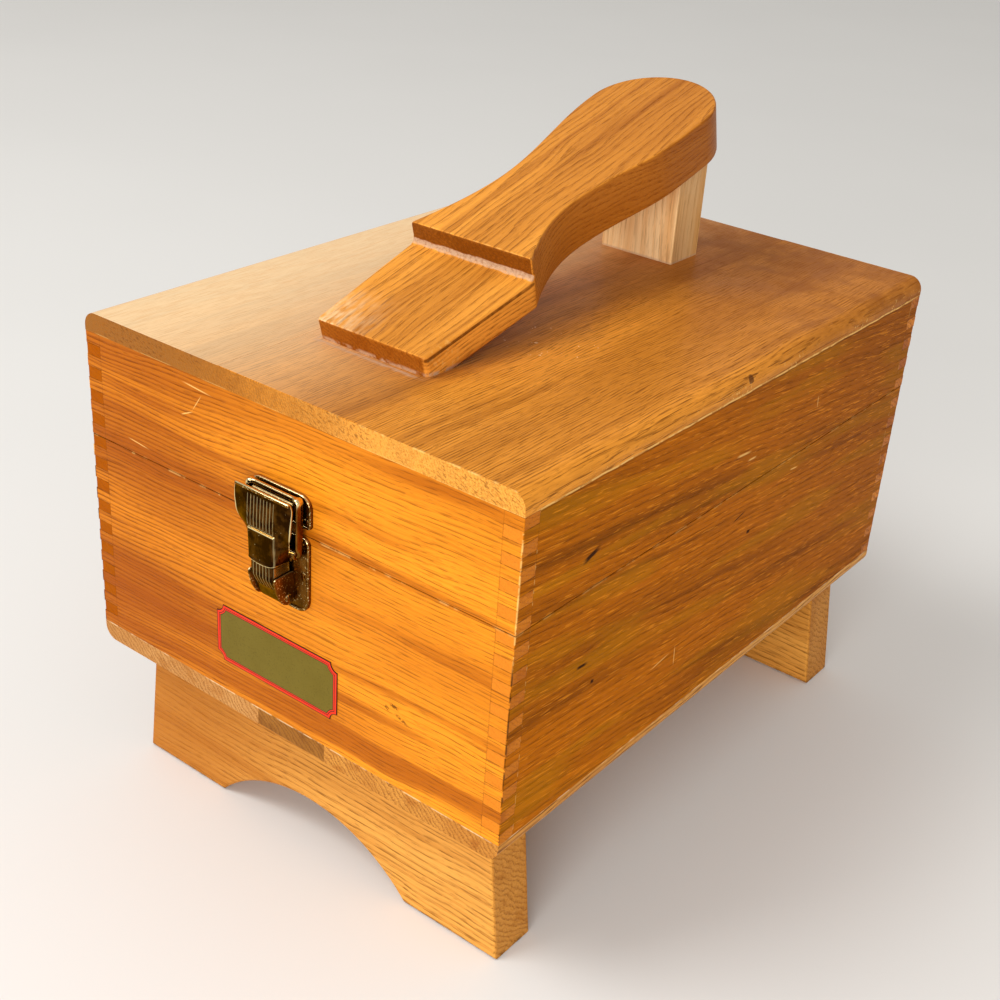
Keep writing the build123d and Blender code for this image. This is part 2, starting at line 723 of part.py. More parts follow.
with BuildPart() as latch_lever:
    with BuildSketch(Plane.YZ):
        with BuildLine():
            outer = Spline(
                (sheet_face_y, pivot_z),
                (waist_y, waist_z),
                (tip_y - lever_sheet / 2, tip_z),
                tangents=((0, 1), (-0.3, 1)),
            )
            inner = Spline(
                (sheet_face_y + lever_sheet, pivot_z),
                (waist_y + lever_sheet, waist_z),
                (tip_y + lever_sheet / 2, tip_z),
                tangents=((0, 1), (-0.3, 1)),
            )
            Line(outer @ 0, inner @ 0)
            Line(outer @ 1, inner @ 1)
        make_face()
    extrude(amount=lever_tip_width / 2, both=True)
    with BuildSketch(Plane.XZ.offset(-pivot_y)):
        with BuildLine():
            Polyline(
                (-lever_width / 2, pivot_z),
                (-lever_width / 2, waist_z),
                (-lever_tip_width / 2, tip_z),
                (lever_tip_width / 2, tip_z),
                (lever_width / 2, waist_z),
                (lever_width / 2, pivot_z),
                close=True,
            )
        make_face()
    extrude(amount=lever_tip_projection, mode=Mode.INTERSECT)
    rod_along_x(-lever_width / 2, lever_width / 2, pivot_y, pivot_z, lever_knuckle_radius)
    rod_along_x(-lever_tip_width / 2, lever_tip_width / 2, tip_y, tip_z, lever_bead_radius)
    with BuildSketch(Plane.XZ.offset(boss_offset - box_front)):
        with Locations((0, boss_z)):
            RectangleRounded(boss_width, boss_height, boss_corner_radius)
    extrude(amount=box_front - boss_offset - waist_y - lever_sheet)
    for low in (-lever_width / 2, tab_x):
        with BuildSketch(Plane.YZ.offset(low)):
            with Locations((bail_y, bail_pivot_z)):
                Circle(tab_radius)
            with Locations(((bail_y + waist_y) / 2, bail_pivot_z)):
                Rectangle(bail_y - waist_y, 2 * tab_radius)
        extrude(amount=tab_thickness)
    pin_bore = pivot_pin_radius + pivot_pin_clearance
    rod_along_x(-lever_width / 2, lever_width / 2, pivot_y, pivot_z, pin_bore, Mode.SUBTRACT)
    bail_bore = bail_wire_radius + bail_pivot_clearance
    rod_along_x(-lever_width / 2, lever_width / 2, bail_y, bail_pivot_z, bail_bore, Mode.SUBTRACT)
latch_lever.part.label = "latch_lever"
export_step(latch_lever.part, "parts/latch_lever.step")

# ---- Latch: wire bail, whose ends turn in through the lever's tabs -------------------------------
bail_arm = bail_width / 2

with BuildPart() as latch_bail:
    with BuildLine(Plane.XZ.offset(-bail_y)) as bail_path:
        FilletPolyline(
            (-tab_x, bail_pivot_z),
            (-bail_arm, bail_pivot_z),
            (-bail_arm, bail_bar_z),
            (bail_arm, bail_bar_z),
            (bail_arm, bail_pivot_z),
            (tab_x, bail_pivot_z),
            radius=bail_corner_radius,
        )
    with BuildSketch(Plane.YZ.offset(-tab_x)):
        with Locations((bail_y, bail_pivot_z)):
            Circle(bail_wire_radius)
    sweep(path=bail_path.line)
latch_bail.part.label = "latch_bail"
export_step(latch_bail.part, "parts/latch_bail.step")

# ---- Label: a thin blank plate with notched corners ----------------------------------------------
label_middle = seam - label_drop - label_height / 2

with BuildPart() as label_plate:
    with BuildSketch(Plane.XZ.offset(-box_front)):
        with Locations((label_shift, label_middle)):
            Rectangle(label_width, label_height)
            with GridLocations(label_width, label_height, 2, 2):
                Circle(label_corner_notch, mode=Mode.SUBTRACT)
    extrude(amount=label_thickness)
label_plate.part.label = "label_plate"
export_step(label_plate.part, "parts/label_plate.step")
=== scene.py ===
"""Looks for the wooden shoe shine box: oak finishes, worn edges, brass latch work and a plain studio."""

import json
import math

import bmesh
import bpy
import numpy as np
from mathutils import Matrix, Vector


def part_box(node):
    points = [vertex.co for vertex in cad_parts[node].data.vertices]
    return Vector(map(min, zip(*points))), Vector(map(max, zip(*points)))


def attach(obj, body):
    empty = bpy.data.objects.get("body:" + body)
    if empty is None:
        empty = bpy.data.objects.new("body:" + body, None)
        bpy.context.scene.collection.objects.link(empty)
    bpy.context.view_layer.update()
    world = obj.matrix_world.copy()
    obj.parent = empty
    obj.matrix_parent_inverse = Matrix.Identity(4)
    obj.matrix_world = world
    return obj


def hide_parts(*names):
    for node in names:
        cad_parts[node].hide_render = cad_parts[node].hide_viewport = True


bl_info = {
    "name": "Shoe Shine Box Looks",
    "version": (1, 0, 0),
    "blender": (4, 5, 0),
    "location": "View3D > Sidebar > Shine Box",
    "description": "Oak finishes, worn edges, brass latch work and a studio for a wooden shoe shine box",
    "category": "Object",
}

MM = 0.001
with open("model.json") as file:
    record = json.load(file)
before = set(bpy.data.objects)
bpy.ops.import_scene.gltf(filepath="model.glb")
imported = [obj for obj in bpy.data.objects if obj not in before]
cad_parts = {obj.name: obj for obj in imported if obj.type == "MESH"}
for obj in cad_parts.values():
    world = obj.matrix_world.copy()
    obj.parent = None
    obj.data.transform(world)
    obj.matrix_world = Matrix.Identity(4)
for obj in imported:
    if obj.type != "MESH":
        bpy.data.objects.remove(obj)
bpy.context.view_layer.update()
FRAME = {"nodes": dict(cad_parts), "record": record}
JOINTS = {joint["name"]: joint for joint in FRAME["record"]["behaviour"]["joints"]}


def corners(node):
    """Lowest and highest corner of a CAD node, in millimetres."""
    low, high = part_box(node)
    return np.array(low) / MM, np.array(high) / MM


FRONT_LOW, FRONT_HIGH = corners("front_panel")
LID_LOW, LID_HIGH = corners("top_stave_right")
BASE_LOW, BASE_HIGH = corners("bottom_stave_left")
LABEL_LOW, LABEL_HIGH = corners("label_plate")
SOLE_LOW, SOLE_HIGH = corners("footrest_sole")
LEVER_TOP = corners("latch_lever")[1][2]
BOX_RIGHT = FRONT_HIGH[0]
BOX_FRONT = FRONT_LOW[1]
BOX_BACK = LID_HIGH[1]
SEAM = FRONT_HIGH[2]
LID_FACE = LID_HIGH[2]
CARCASS_TOP = LID_LOW[2]
CARCASS_BASE = BASE_HIGH[2]
WALL = FRONT_HIGH[1] - FRONT_LOW[1]
REST_SLOPE = math.radians(15.7)
PIVOT = np.array(JOINTS["latch_lever_hinge"]["pos_m"]) / MM
BAIL_PIVOT = np.array(JOINTS["latch_bail_hinge"]["pos_m"]) / MM
FINGERS = 27
HEEL_HALF = 31.2
HEEL_LENGTH = 70.9
HEEL_DEPTH = 10.3
HEEL_FRONT = 9.9
LEVER_FOOT = -3.3
LEVER_STEP = 18.3
LEVER_FOOT_HALF = 6.8
BOSS_TOP = 32.4
TOUCHING = 0.01
SHARP = math.radians(31)
SMOOTH = math.radians(40)
BACKDROP = 0.95
LAMP_AIM = Vector((0, 0, 0.15))


def colour(code):
    """Scene-linear colour of a six-figure screen colour code."""
    parts = [int(code[i:i + 2], 16) / 255 for i in (0, 2, 4)]
    return tuple(p / 12.92 if p <= 0.04045 else ((p + 0.055) / 1.055) ** 2.4 for p in parts)


# ---- Settings ------------------------------------------------------------------------------------
def swatch(name, description, code):
    """A colour setting."""
    return bpy.props.FloatVectorProperty(
        name=name, description=description, subtype="COLOR", size=3, min=0, max=1, default=colour(code)
    )


def millimetres(name, description, default):
    """A length setting, kept in millimetres."""
    return bpy.props.FloatProperty(name=name, description=description, default=default, min=0)


def number(name, description, default, unit):
    """A setting with a unit of its own."""
    return bpy.props.FloatProperty(name=name, description=description, default=default, unit=unit)


class ShineBoxWood(bpy.types.PropertyGroup):
    """Colours and grain of the oak boards."""

    front_light: swatch("Front light", "Pale wood of the front and back", "ec9020")
    front_dark: swatch("Front dark", "Dark grain of the front and back", "964602")
    # Painted shade: this colour draws the front's left half darker, where less light falls on it, and the
    # side boards' ends there.
    front_left_shade: swatch("Front left", "Deeper wood at the front's left", "984a02")
    front_mid: swatch("Front mid", "Ends of the side boards in the front's joints", "de8428")
    # Partly painted shade: the side colours are set darker than the front's, deepening the shade on the side
    # faces.
    side_light_shaded: swatch("Side light", "Pale wood of the sides", "be6806")
    side_dark_shaded: swatch("Side dark", "Dark grain of the sides", "703802")
    side_gold: swatch("Side gold", "Yellower patches of the sides", "b47606")
    top_light: swatch("Top light", "Pale wood of the lid top", "ea9632")
    top_mid: swatch("Top mid", "The lid top's middle stave", "e08c2a")
    top_dark: swatch("Top dark", "Dark grain of the lid top", "965208")
    foot_light: swatch("Foot light", "Pale wood of the foot boards", "de9c46")
    foot_dark: swatch("Foot dark", "Dark grain of the foot boards", "a66018")
    rest_light: swatch("Rest light", "Pale wood of the foot rest", "f2a03c")
    rest_dark: swatch("Rest dark", "Dark grain of the foot rest", "8c4404")
    # Painted light: the post's colours are set paler, to offset the shade that the sole casts on it.
    post_lit_pale: swatch("Post light", "Pale wood of the post", "ffdca4")
    post_lit_dark: swatch("Post dark", "Dark grain of the post", "e4a860")
    base_pale: swatch("Pale stave", "The pale stave in the bottom", "d6a060")
    base_dark: swatch("Dark stave", "The dark stave in the bottom", "a06a28")
    end: swatch("End grain", "Ends of the top and bottom boards", "8e5820")
    pore: swatch("Pore", "Filled pores", "582a04")
    grime: swatch("Grime", "Dirt in joints and corners", "2a1204")
    # Besides worn wood, this colour is laid on as painted light: the reflection on the left of the lid top
    # and the highlight on the foot rest's heel.
    bare: swatch("Bare wood", "Wood where the varnish has worn off", "f8dcae")
    chipped: swatch("Chipped varnish", "Wood where the varnish has chipped at an edge", "f0be6e")
    dust: swatch("Dust", "Dust and old polish in the hollows", "c8a484")


class ShineBoxWear(bpy.types.PropertyGroup):
    """Rounding of edges that hands and shoes have worn."""

    board_edge: millimetres("Board edge", "Rounding of the box's outer edges", 0.8)
    joint_edge: millimetres("Joint edge", "Rounding where boards meet, which shows as a hairline", 0.12)
    seam_edge: millimetres("Seam edge", "Rounding of the sawn edges between the lid and the body", 0.18)
    rest_edge: millimetres("Foot rest edge", "Rounding of the foot rest's edges", 1.3)
    post_edge: millimetres("Post edge", "Rounding of the post's edges", 0.7)
    metal_edge: millimetres("Metal edge", "Rounding of stamped metal edges", 0.2)


class ShineBoxBrass(bpy.types.PropertyGroup):
    """Colours and relief of the brass latch and hinges."""

    # Also the colour of the painted highlights and of the painted sheen on brass that faces up.
    bright: swatch("Bright", "Brass polished by fingers", "f6e0a4")
    brass: swatch("Brass", "Lacquered brass", "84561e")
    tarnish: swatch("Tarnish", "Darkened brass", "220f04")
    flute_pitch: millimetres("Flute pitch", "Distance from one flute of the lever to the next", 1.9)
    flute_depth: millimetres("Flute depth", "Depth of the lever's flutes", 0.4)
    boss_height: millimetres("Boss height", "How far the lever's pressed boss stands out", 0.65)
    sheet: millimetres("Lever sheet", "Thickness of the lever's sheet", 0.8)
    bead: millimetres("Tip bead", "Radius of the rolled edge at the lever's tip", 0.9)
    rim: millimetres("Rim", "Radius of the bead round the latch plates", 0.75)


class ShineBoxLabel(bpy.types.PropertyGroup):
    """Colours of the blank label plate."""

    field: swatch("Field", "Olive gold field", "625208")
    border: swatch("Border", "Red border lines", "dc2c08")
    outline: swatch("Outline", "Dark hairlines", "2c1008")
    band: millimetres("Border band", "Width of the outer red band", 1.0)
    line: millimetres("Border line", "Width of the hairlines and the inner red line", 0.45)


class ShineBoxStudio(bpy.types.PropertyGroup):
    """Camera, lamps and floor."""

    lens: number("Lens", "Focal length", 53.8, "CAMERA")
    azimuth: number("Azimuth", "Angle round from the front", math.radians(36.04), "ROTATION")
    elevation: number("Elevation", "Angle above level", math.radians(28.10), "ROTATION")
    roll: number("Roll", "Lean of the camera", math.radians(4.26), "ROTATION")
    place: bpy.props.FloatVectorProperty(
        name="Camera place", description="Where the camera stands", size=3, subtype="TRANSLATION",
        default=(0.4001, -0.5584, 0.4962),
    )
    shift: bpy.props.FloatVectorProperty(
        name="Shift", description="Lens shift", size=2, default=(-0.0059, 0.0063)
    )
    key: number("Key lamp", "Power of the main lamp", 44, "POWER")
    fill: number("Fill lamp", "Power of the fill lamp", 20, "POWER")
    sky: bpy.props.FloatProperty(name="Sky", description="Strength of the even light", default=0.6, min=0)
    floor: swatch("Floor", "Pale floor", "e6e4e0")


# ---- Shader maths --------------------------------------------------------------------------------
class Signal:
    """A socket of a finish. Arithmetic on it adds Math nodes."""

    def __init__(self, finish, socket):
        self.finish = finish
        self.socket = socket

    def maths(self, operation, first, second):
        return self.finish.add("ShaderNodeMath", {"operation": operation}, {0: first, 1: second})

    def __add__(self, other):
        return self.maths("ADD", self, other)

    def __sub__(self, other):
        return self.maths("SUBTRACT", self, other)

    def __mul__(self, other):
        return self.maths("MULTIPLY", self, other)

    def __truediv__(self, other):
        return self.maths("DIVIDE", self, other)

    def __rsub__(self, other):
        return self.maths("SUBTRACT", other, self)

    def __pow__(self, other):
        return self.maths("POWER", self, other)

    __radd__ = __add__
    __rmul__ = __mul__


class Finish:
    """A procedural material under construction."""

    def __init__(self, name):
        self.material = bpy.data.materials.new(name)
        self.material.use_nodes = True
        self.tree = self.material.node_tree
        self.tree.nodes.clear()

    def add(self, kind, settings=None, inputs=None, output=0):
        """Adds a node with its settings and inputs, and returns one of its outputs."""
        node = self.tree.nodes.new(kind)
        for key, value in (settings or {}).items():
            setattr(node, key, value)
        for key, value in (inputs or {}).items():
            if isinstance(value, Signal):
                self.tree.links.new(value.socket, node.inputs[key])
            else:
                node.inputs[key].default_value = value
        return Signal(self, node.outputs[output])

    def place(self):
        """The point on the object, as three numbers in millimetres."""
        point = self.add("ShaderNodeTexCoord", output=3)
        scaled = self.add("ShaderNodeVectorMath", {"operation": "SCALE"}, {0: point, 3: 1 / MM})
        return [self.add("ShaderNodeSeparateXYZ", None, {0: scaled}, axis) for axis in range(3)]

    def facing(self):
        """How far the surface faces along each axis, whichever way round."""
        normal = self.add("ShaderNodeTexCoord", output=1)
        size = self.add("ShaderNodeVectorMath", {"operation": "ABSOLUTE"}, {0: normal})
        return [self.add("ShaderNodeSeparateXYZ", None, {0: size}, axis) for axis in range(3)]

    def vector(self, x, y, z):
        return self.add("ShaderNodeCombineXYZ", None, {0: x, 1: y, 2: z})

    def noise(self, vector, detail=2.0, roughness=0.5):
        return self.add("ShaderNodeTexNoise", None, {"Vector": vector, "Scale": 1.0, "Detail": detail,
                                                      "Roughness": roughness})

    def ease(self, value, low, high):
        """0 below low, 1 above high and a smooth step between."""
        sockets = {0: value, 1: low, 2: high}
        return self.add("ShaderNodeMapRange", {"interpolation_type": "SMOOTHSTEP"}, sockets)

    def below(self, value, low, high):
        """1 below low, 0 above high and a smooth step between."""
        return 1.0 - self.ease(value, low, high)

    def least(self, first, second):
        return first.maths("MINIMUM", first, second)

    def most(self, first, second):
        return first.maths("MAXIMUM", first, second)

    def size(self, value):
        return value.maths("ABSOLUTE", value, 0.0)

    def remainder(self, value):
        return value.maths("FRACT", value, 0.0)

    def blend(self, amount, first, second):
        """Colour first where amount is 0 and second where it is 1."""
        sockets = {0: amount, 6: self.rgba(first), 7: self.rgba(second)}
        return self.add("ShaderNodeMix", {"data_type": "RGBA"}, sockets, 2)

    @staticmethod
    def rgba(value):
        return value if isinstance(value, Signal) else (*value, 1.0)

    def close(self, base, roughness, height=None, depth=0.2, **constants):
        """Ends the finish in one Principled shader, with a bump whose height is in millimetres."""
        inputs = {"Base Color": base, "Roughness": roughness}
        if height is not None:
            inputs["Normal"] = self.add("ShaderNodeBump", None, {"Strength": 1.0, "Distance": depth * MM,
                                                                "Height": height})
        inputs.update(constants)
        shader = self.add("ShaderNodeBsdfPrincipled", None, inputs)
        end = self.tree.nodes.new("ShaderNodeOutputMaterial")
        self.tree.links.new(shader.socket, end.inputs[0])
        return self.material


# ---- Oak -----------------------------------------------------------------------------------------
class Oak(Finish):
    """Varnished oak as a solid texture: uneven rings, porous bands, open pores, fibres, dark streaks and
    slow changes of tone. lean turns the grain away from its axis, in radians, and fine shortens the
    pores."""

    def __init__(self, name, light, dark, grain, seed, pitch, slant, band, wander=5.0, pores=0.75,
                 streaks=0.5, lean=0.0, fine=1.0):
        super().__init__(name)
        self.wood = bpy.context.scene.shine_box_wood
        self.x, self.y, self.z = place = self.place()
        along = place["xyz".index(grain)]
        near, far = [p for p, axis in zip(place, "xyz") if axis != grain]
        if lean:
            cos, sin = math.cos(lean), math.sin(lean)
            along, far = along * cos + far * sin, far * cos - along * sin
        sway = (self.noise(self.vector(along / 70 + seed, near / 24, far / 24), 1.0) - 0.5) * 5.0
        u, v, w = along + 400.0 * seed, near + 37.0 * seed + sway, far + 61.0 * seed + sway
        drift = self.noise(self.vector(u / 380, v / 42, w / 42), 2.0)
        uneven = self.noise(self.vector(u / 500, v / 5, w / 5), 1.0)
        ring = (v * slant + w + drift * (2 * wander) + uneven * (1.6 * pitch)) / pitch
        self.porous = self.below(self.remainder(ring), 0.05, 0.6)
        fibre = self.noise(self.vector(u / 30, v / 0.7, w / 0.7), 3.0, 0.6)
        streak = self.noise(self.vector(u / 330, v / 11, w / 11), 2.0, 0.5)
        self.tone = self.noise(self.vector(u / 300, v / 38, w / 38), 2.0)
        wide = 0.6 * fine ** 0.5
        cells = self.noise(self.vector(u / (17 * fine), v / wide, w / wide), 1.0)
        short = self.noise(self.vector(u / 6, v / 0.7, w / 0.7), 1.0)
        self.open_pores = self.most(self.ease(cells, 0.47, 0.62) * (self.porous * 0.85 + 0.15),
                                    self.ease(short, 0.6, 0.72) * 0.5)
        base = self.blend(self.ease(self.tone, 0.35, 0.65) * 0.4, light, dark)
        base = self.blend(self.ease(streak, 0.52, 0.68) * streaks, base, dark)
        base = self.blend(self.porous * band, base, dark)
        base = self.blend(self.ease(fibre, 0.48, 0.75) * 0.3, base, dark)
        self.base = self.blend(self.open_pores * pores, base, self.wood.pore)
        self.gloss = 0.3 + fibre * 0.14 + self.open_pores * 0.2
        self.relief = fibre * 0.3 - self.open_pores * 0.8
        self.end = self.ease(self.facing()["xyz".index(grain)], 0.6, 0.9)

    def paint(self, amount, tint, roughness=None):
        """Lays another colour over the wood, and may change its roughness there."""
        self.base = self.blend(amount, self.base, tint)
        if roughness is not None:
            self.gloss = self.gloss * (1.0 - amount) + amount * roughness

    def end_grain(self, tint, amount=0.3):
        """Duller, finely speckled ends of the board."""
        self.paint(self.end * (self.spots(0.4, 0.65, 0.8, 2.0) * amount + amount), tint, 0.5)

    def grit(self, size, seed=0.0, detail=3.0):
        """Even noise with grains about size millimetres across."""
        spot = self.vector(self.x / size + seed, self.y / size, self.z / size)
        return self.noise(spot, detail, 0.6)

    def spots(self, low, high, size, seed=0.0, detail=3.0):
        """Even noise as patches: 0 where it is below low and 1 where it is above high."""
        return self.ease(self.grit(size, seed, detail), low, high)

    def near(self, value, place, reach):
        """1 where value is at place, easing to 0 at reach away from it."""
        return self.below(self.size(value - place), 0.0, reach)

    def stroke(self, across, up, start, end, width):
        """1 along a straight scratch from start to end, tapering to 0 at its sides and tips."""
        run = np.array(end, float) - np.array(start, float)
        length = float(np.linalg.norm(run))
        cos, sin = (run / length).tolist()
        from_x, from_y = across - start[0], up - start[1]
        travel = (from_x * cos + from_y * sin) / length
        aside = self.size(from_y * cos - from_x * sin)
        taper = self.ease(travel, -0.05, 0.3) * self.below(travel, 0.6, 1.05)
        return self.below(aside, width * 0.35, width) * taper

    def marks(self, across, marks, amount, tint, roughness=None):
        """Paints straight marks, each a start, an end and a width, on the plane of across and height."""
        for start, end, width in marks:
            self.paint(self.stroke(across, self.z, start, end, width) * amount, tint, roughness)

    def finish(self, gleam=0.07):
        """Ends the finish as thin amber varnish. gleam is how strongly it mirrors the lamps."""
        constants = {"Coat Weight": 0.03, "Coat Roughness": 0.12, "Specular IOR Level": gleam,
                     "Specular Tint": (1.0, 0.74, 0.4, 1.0)}
        return self.close(self.base, self.gloss, self.relief, 0.12, **constants)


# ---- Mesh helpers --------------------------------------------------------------------------------
def add_piece(name, mesh, material, body):
    """Puts a mesh in the scene as a piece that rides on a body."""
    piece = bpy.data.objects.new(name, mesh)
    bpy.context.scene.collection.objects.link(piece)
    piece.data.materials.clear()
    piece.data.materials.append(material)
    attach(piece, body)
    return piece


def grid_mesh(name, points, around=True, along=False, caps=True):
    """Mesh of a grid of points in millimetres, closed around its first axis and capped at its ends."""
    rows, columns = points.shape[:2]
    index = np.arange(rows * columns).reshape(rows, columns)
    if around:
        index = np.vstack([index, index[:1]])
    if along:
        index = np.hstack([index, index[:, :1]])
    quads = np.stack([index[:-1, :-1], index[1:, :-1], index[1:, 1:], index[:-1, 1:]], axis=-1)
    faces = quads.reshape(-1, 4).tolist()
    if caps and around and not along:
        faces += [index[:-1, 0].tolist(), index[:-1, -1][::-1].tolist()]
    mesh = bpy.data.meshes.new(name)
    mesh.from_pydata((points.reshape(-1, 3) * MM).tolist(), [], faces)
    smooth(mesh)
    return mesh


def smooth(mesh):
    """Shades a mesh smooth except at its sharp edges."""
    working = bmesh.new()
    working.from_mesh(mesh)
    bmesh.ops.recalc_face_normals(working, faces=working.faces)
    for edge in working.edges:
        edge.smooth = len(edge.link_faces) == 2 and edge.calc_face_angle() < SMOOTH
    for face in working.faces:
        face.smooth = True
    working.to_mesh(mesh)
    working.free()


def joined(name, meshes):
    """One mesh from several."""
    working = bmesh.new()
    for mesh in meshes:
        working.from_mesh(mesh)
        bpy.data.meshes.remove(mesh)
    result = bpy.data.meshes.new(name)
    working.to_mesh(result)
    working.free()
    return result


def rod(name, path, across, radius, sides=20, closed=False, depth=None):
    """Bar: an ellipse carried along a path that lies square to the vector across. radius is its half width
    in the path's plane, and depth its half width along across, which is the same unless given."""
    step = np.roll(path, -1, 0) - np.roll(path, 1, 0) if closed else np.gradient(path, axis=0)
    step /= np.linalg.norm(step, axis=1, keepdims=True)
    side = np.cross(step, across)
    side /= np.linalg.norm(side, axis=1, keepdims=True)
    angle = np.linspace(0, 2 * np.pi, sides, endpoint=False)[:, None, None]
    width = np.broadcast_to(radius, len(path))[None, :, None]
    depth = np.broadcast_to(radius if depth is None else depth, len(path))[None, :, None]
    points = path[None] + width * np.cos(angle) * side[None]
    points = points + depth * np.sin(angle) * np.array(across)[None, None]
    return grid_mesh(name, points, True, closed, not closed)


def plate_outline(low, high, inset, top_corner, bottom_corner):
    """Points round a rectangle from low to high, anticlockwise, with quarter-circle corners of one radius
    at the top and another at the bottom, all moved inwards by inset."""
    angle = np.linspace(0, np.pi / 2, 12)
    quarter = np.stack([np.cos(angle), np.sin(angle)], 1)
    turns = [quarter, quarter[:, ::-1] * (-1, 1), -quarter, quarter[:, ::-1] * (1, -1)]
    radii = [top_corner, top_corner, bottom_corner, bottom_corner]
    places = [(high[0], high[1]), (low[0], high[1]), (low[0], low[1]), (high[0], low[1])]
    signs = [(-1, -1), (1, -1), (1, 1), (-1, 1)]
    return np.vstack([np.array(place) + np.array(sign) * radius + turn * (radius - inset)
                      for turn, radius, place, sign in zip(turns, radii, places, signs)])


def eased_copy(node, name, material, body, width, weigh=None, clamp=True):
    """Copy of a CAD node with eased edges. weigh gives each sharp edge a share of the width from its
    middle point, in millimetres; without it every sharp edge gets the whole width."""
    source = FRAME["nodes"][node]
    working = bmesh.new()
    working.from_mesh(source.data)
    bmesh.ops.remove_doubles(working, verts=working.verts, dist=0.002 * MM)
    bmesh.ops.dissolve_limit(working, angle_limit=math.radians(0.6), verts=working.verts,
                             edges=working.edges, use_dissolve_boundaries=False)
    layer = working.edges.layers.float.new("bevel_weight_edge")
    sharp = [e for e in working.edges if len(e.link_faces) == 2 and e.calc_face_angle() > SHARP]
    middles = np.array([np.array((e.verts[0].co + e.verts[1].co) / 2) for e in sharp]).reshape(-1, 3) / MM
    weights = np.ones(len(sharp)) if weigh is None else weigh(middles)
    for edge, weight in zip(sharp, weights.tolist()):
        edge[layer] = weight
        edge.smooth = weight > 0.0
    mesh = bpy.data.meshes.new(name)
    working.to_mesh(mesh)
    working.free()
    mesh.polygons.foreach_set("use_smooth", np.ones(len(mesh.polygons), bool))
    piece = add_piece(name, mesh, material, body)
    bevel = piece.modifiers.new("Eased edges", "BEVEL")
    bevel.limit_method = "WEIGHT"
    bevel.width = width * MM
    bevel.segments = 3
    bevel.use_clamp_overlap = clamp
    bevel.harden_normals = True
    piece.modifiers.new("Flat faces", "WEIGHTED_NORMAL").keep_sharp = True
    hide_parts(node)


def coat(node, material):
    """Puts a finish on a CAD node that is shown as it is."""
    FRAME["nodes"][node].data.materials.clear()
    FRAME["nodes"][node].data.materials.append(material)


# ---- Wood operators ------------------------------------------------------------------------------
WALLS = {
    "front": {"body": ["front_panel"], "lid": ["lid_front_rail"]},
    "back": {"body": ["back_panel"], "lid": ["lid_back_rail"]},
    "side": {"body": ["left_panel", "right_panel"], "lid": ["lid_left_rail", "lid_right_rail"]},
}


def at_ends(middles):
    """Which points lie in the box's front or back face."""
    off = np.minimum(np.abs(middles[:, 1] - BOX_FRONT), np.abs(middles[:, 1] - BOX_BACK))
    return off < TOUCHING


def from_ends(oak):
    """Distance in from the box's front or back face, whichever is nearer."""
    return oak.least(oak.y - BOX_FRONT, BOX_BACK - oak.y)


def corner_weights(middles):
    """Full rounding along the box's upright corners, some along the seam and hairlines elsewhere."""
    wear = bpy.context.scene.shine_box_wear
    weights = np.full(len(middles), wear.joint_edge / wear.board_edge)
    at_seam = np.abs(middles[:, 2] - SEAM) < 1.0
    weights[at_seam] = wear.seam_edge / wear.board_edge
    at_side = np.abs(np.abs(middles[:, 0]) - BOX_RIGHT) < TOUCHING
    weights[at_side & at_ends(middles)] = 1.0
    return weights


def stave_weights(middles):
    """Full rounding round the outside of a top or bottom and hairlines along its glued joints."""
    wear = bpy.context.scene.shine_box_wear
    weights = np.full(len(middles), wear.joint_edge / wear.board_edge)
    to_face = np.minimum(np.abs(middles[:, 2] - LID_FACE), np.abs(middles[:, 2] - BASE_LOW[2]))
    weights[at_ends(middles) & (to_face < TOUCHING)] = 1.0
    return weights


def outside(oak, depth=1.0):
    """1 within depth of the box's outer faces, and 0 further in."""
    from_end = from_ends(oak)
    return oak.below(oak.least(BOX_RIGHT - oak.size(oak.x), from_end), depth, depth + 1.0)


def joint_lines(oak):
    """Hairlines round the fingers of the corner joints: along each finger, and down their inner ends."""
    pitch = (CARCASS_TOP - CARCASS_BASE) / FINGERS
    level = oak.remainder((CARCASS_TOP - oak.z) / pitch)
    line = oak.least(level, 1.0 - level) * pitch
    in_side = oak.ease(oak.size(oak.x), BOX_RIGHT - WALL - 0.2, BOX_RIGHT - WALL)
    in_end = oak.most(oak.below(oak.y, BOX_FRONT + WALL, BOX_FRONT + WALL + 0.2),
                      oak.ease(oak.y, BOX_BACK - WALL - 0.2, BOX_BACK - WALL))
    inner_side = oak.size(oak.size(oak.x) - (BOX_RIGHT - WALL))
    inner_end = oak.least(oak.size(oak.y - (BOX_FRONT + WALL)), oak.size(oak.y - (BOX_BACK - WALL)))
    fingers = oak.below(line, 0.1, 0.35) * in_side * in_end
    ends = oak.below(oak.least(inner_side, inner_end), 0.12, 0.4) * outside(oak)
    return fingers, ends


def corner_wear(oak):
    """The box's upright corners: bare wood where hands reach, and dirt lower down."""
    edge = oak.most(BOX_RIGHT - oak.size(oak.x), from_ends(oak))
    rough = oak.grit(5.0, 11.0, 4.0)
    near_edge = oak.below(edge, 0.2, 0.8)
    low = oak.below(oak.z, CARCASS_BASE + 82.0, CARCASS_BASE + 96.0)
    oak.paint(near_edge * (1.0 - low) * oak.ease(rough, 0.48, 0.58) * 0.7, oak.wood.chipped, 0.6)
    oak.paint(near_edge * low * oak.ease(rough, 0.4, 0.52) * 0.8, oak.wood.grime, 0.6)


def seam_wear(oak, amount):
    """Sawn edges of the seam: a dirty line with bare chips."""
    below = SEAM - oak.z
    dirty = oak.below(oak.size(below), 0.1, 0.5) * outside(oak, 0.1)
    oak.paint(dirty * 0.3, oak.wood.pore)
    chips = oak.below(oak.size(below), 0.3, 1.0) * oak.spots(0.5, 0.62, 9.0, 23.0, 4.0)
    chips = chips * outside(oak, 0.2)
    oak.paint(chips * amount * 0.45, oak.wood.chipped, 0.6)


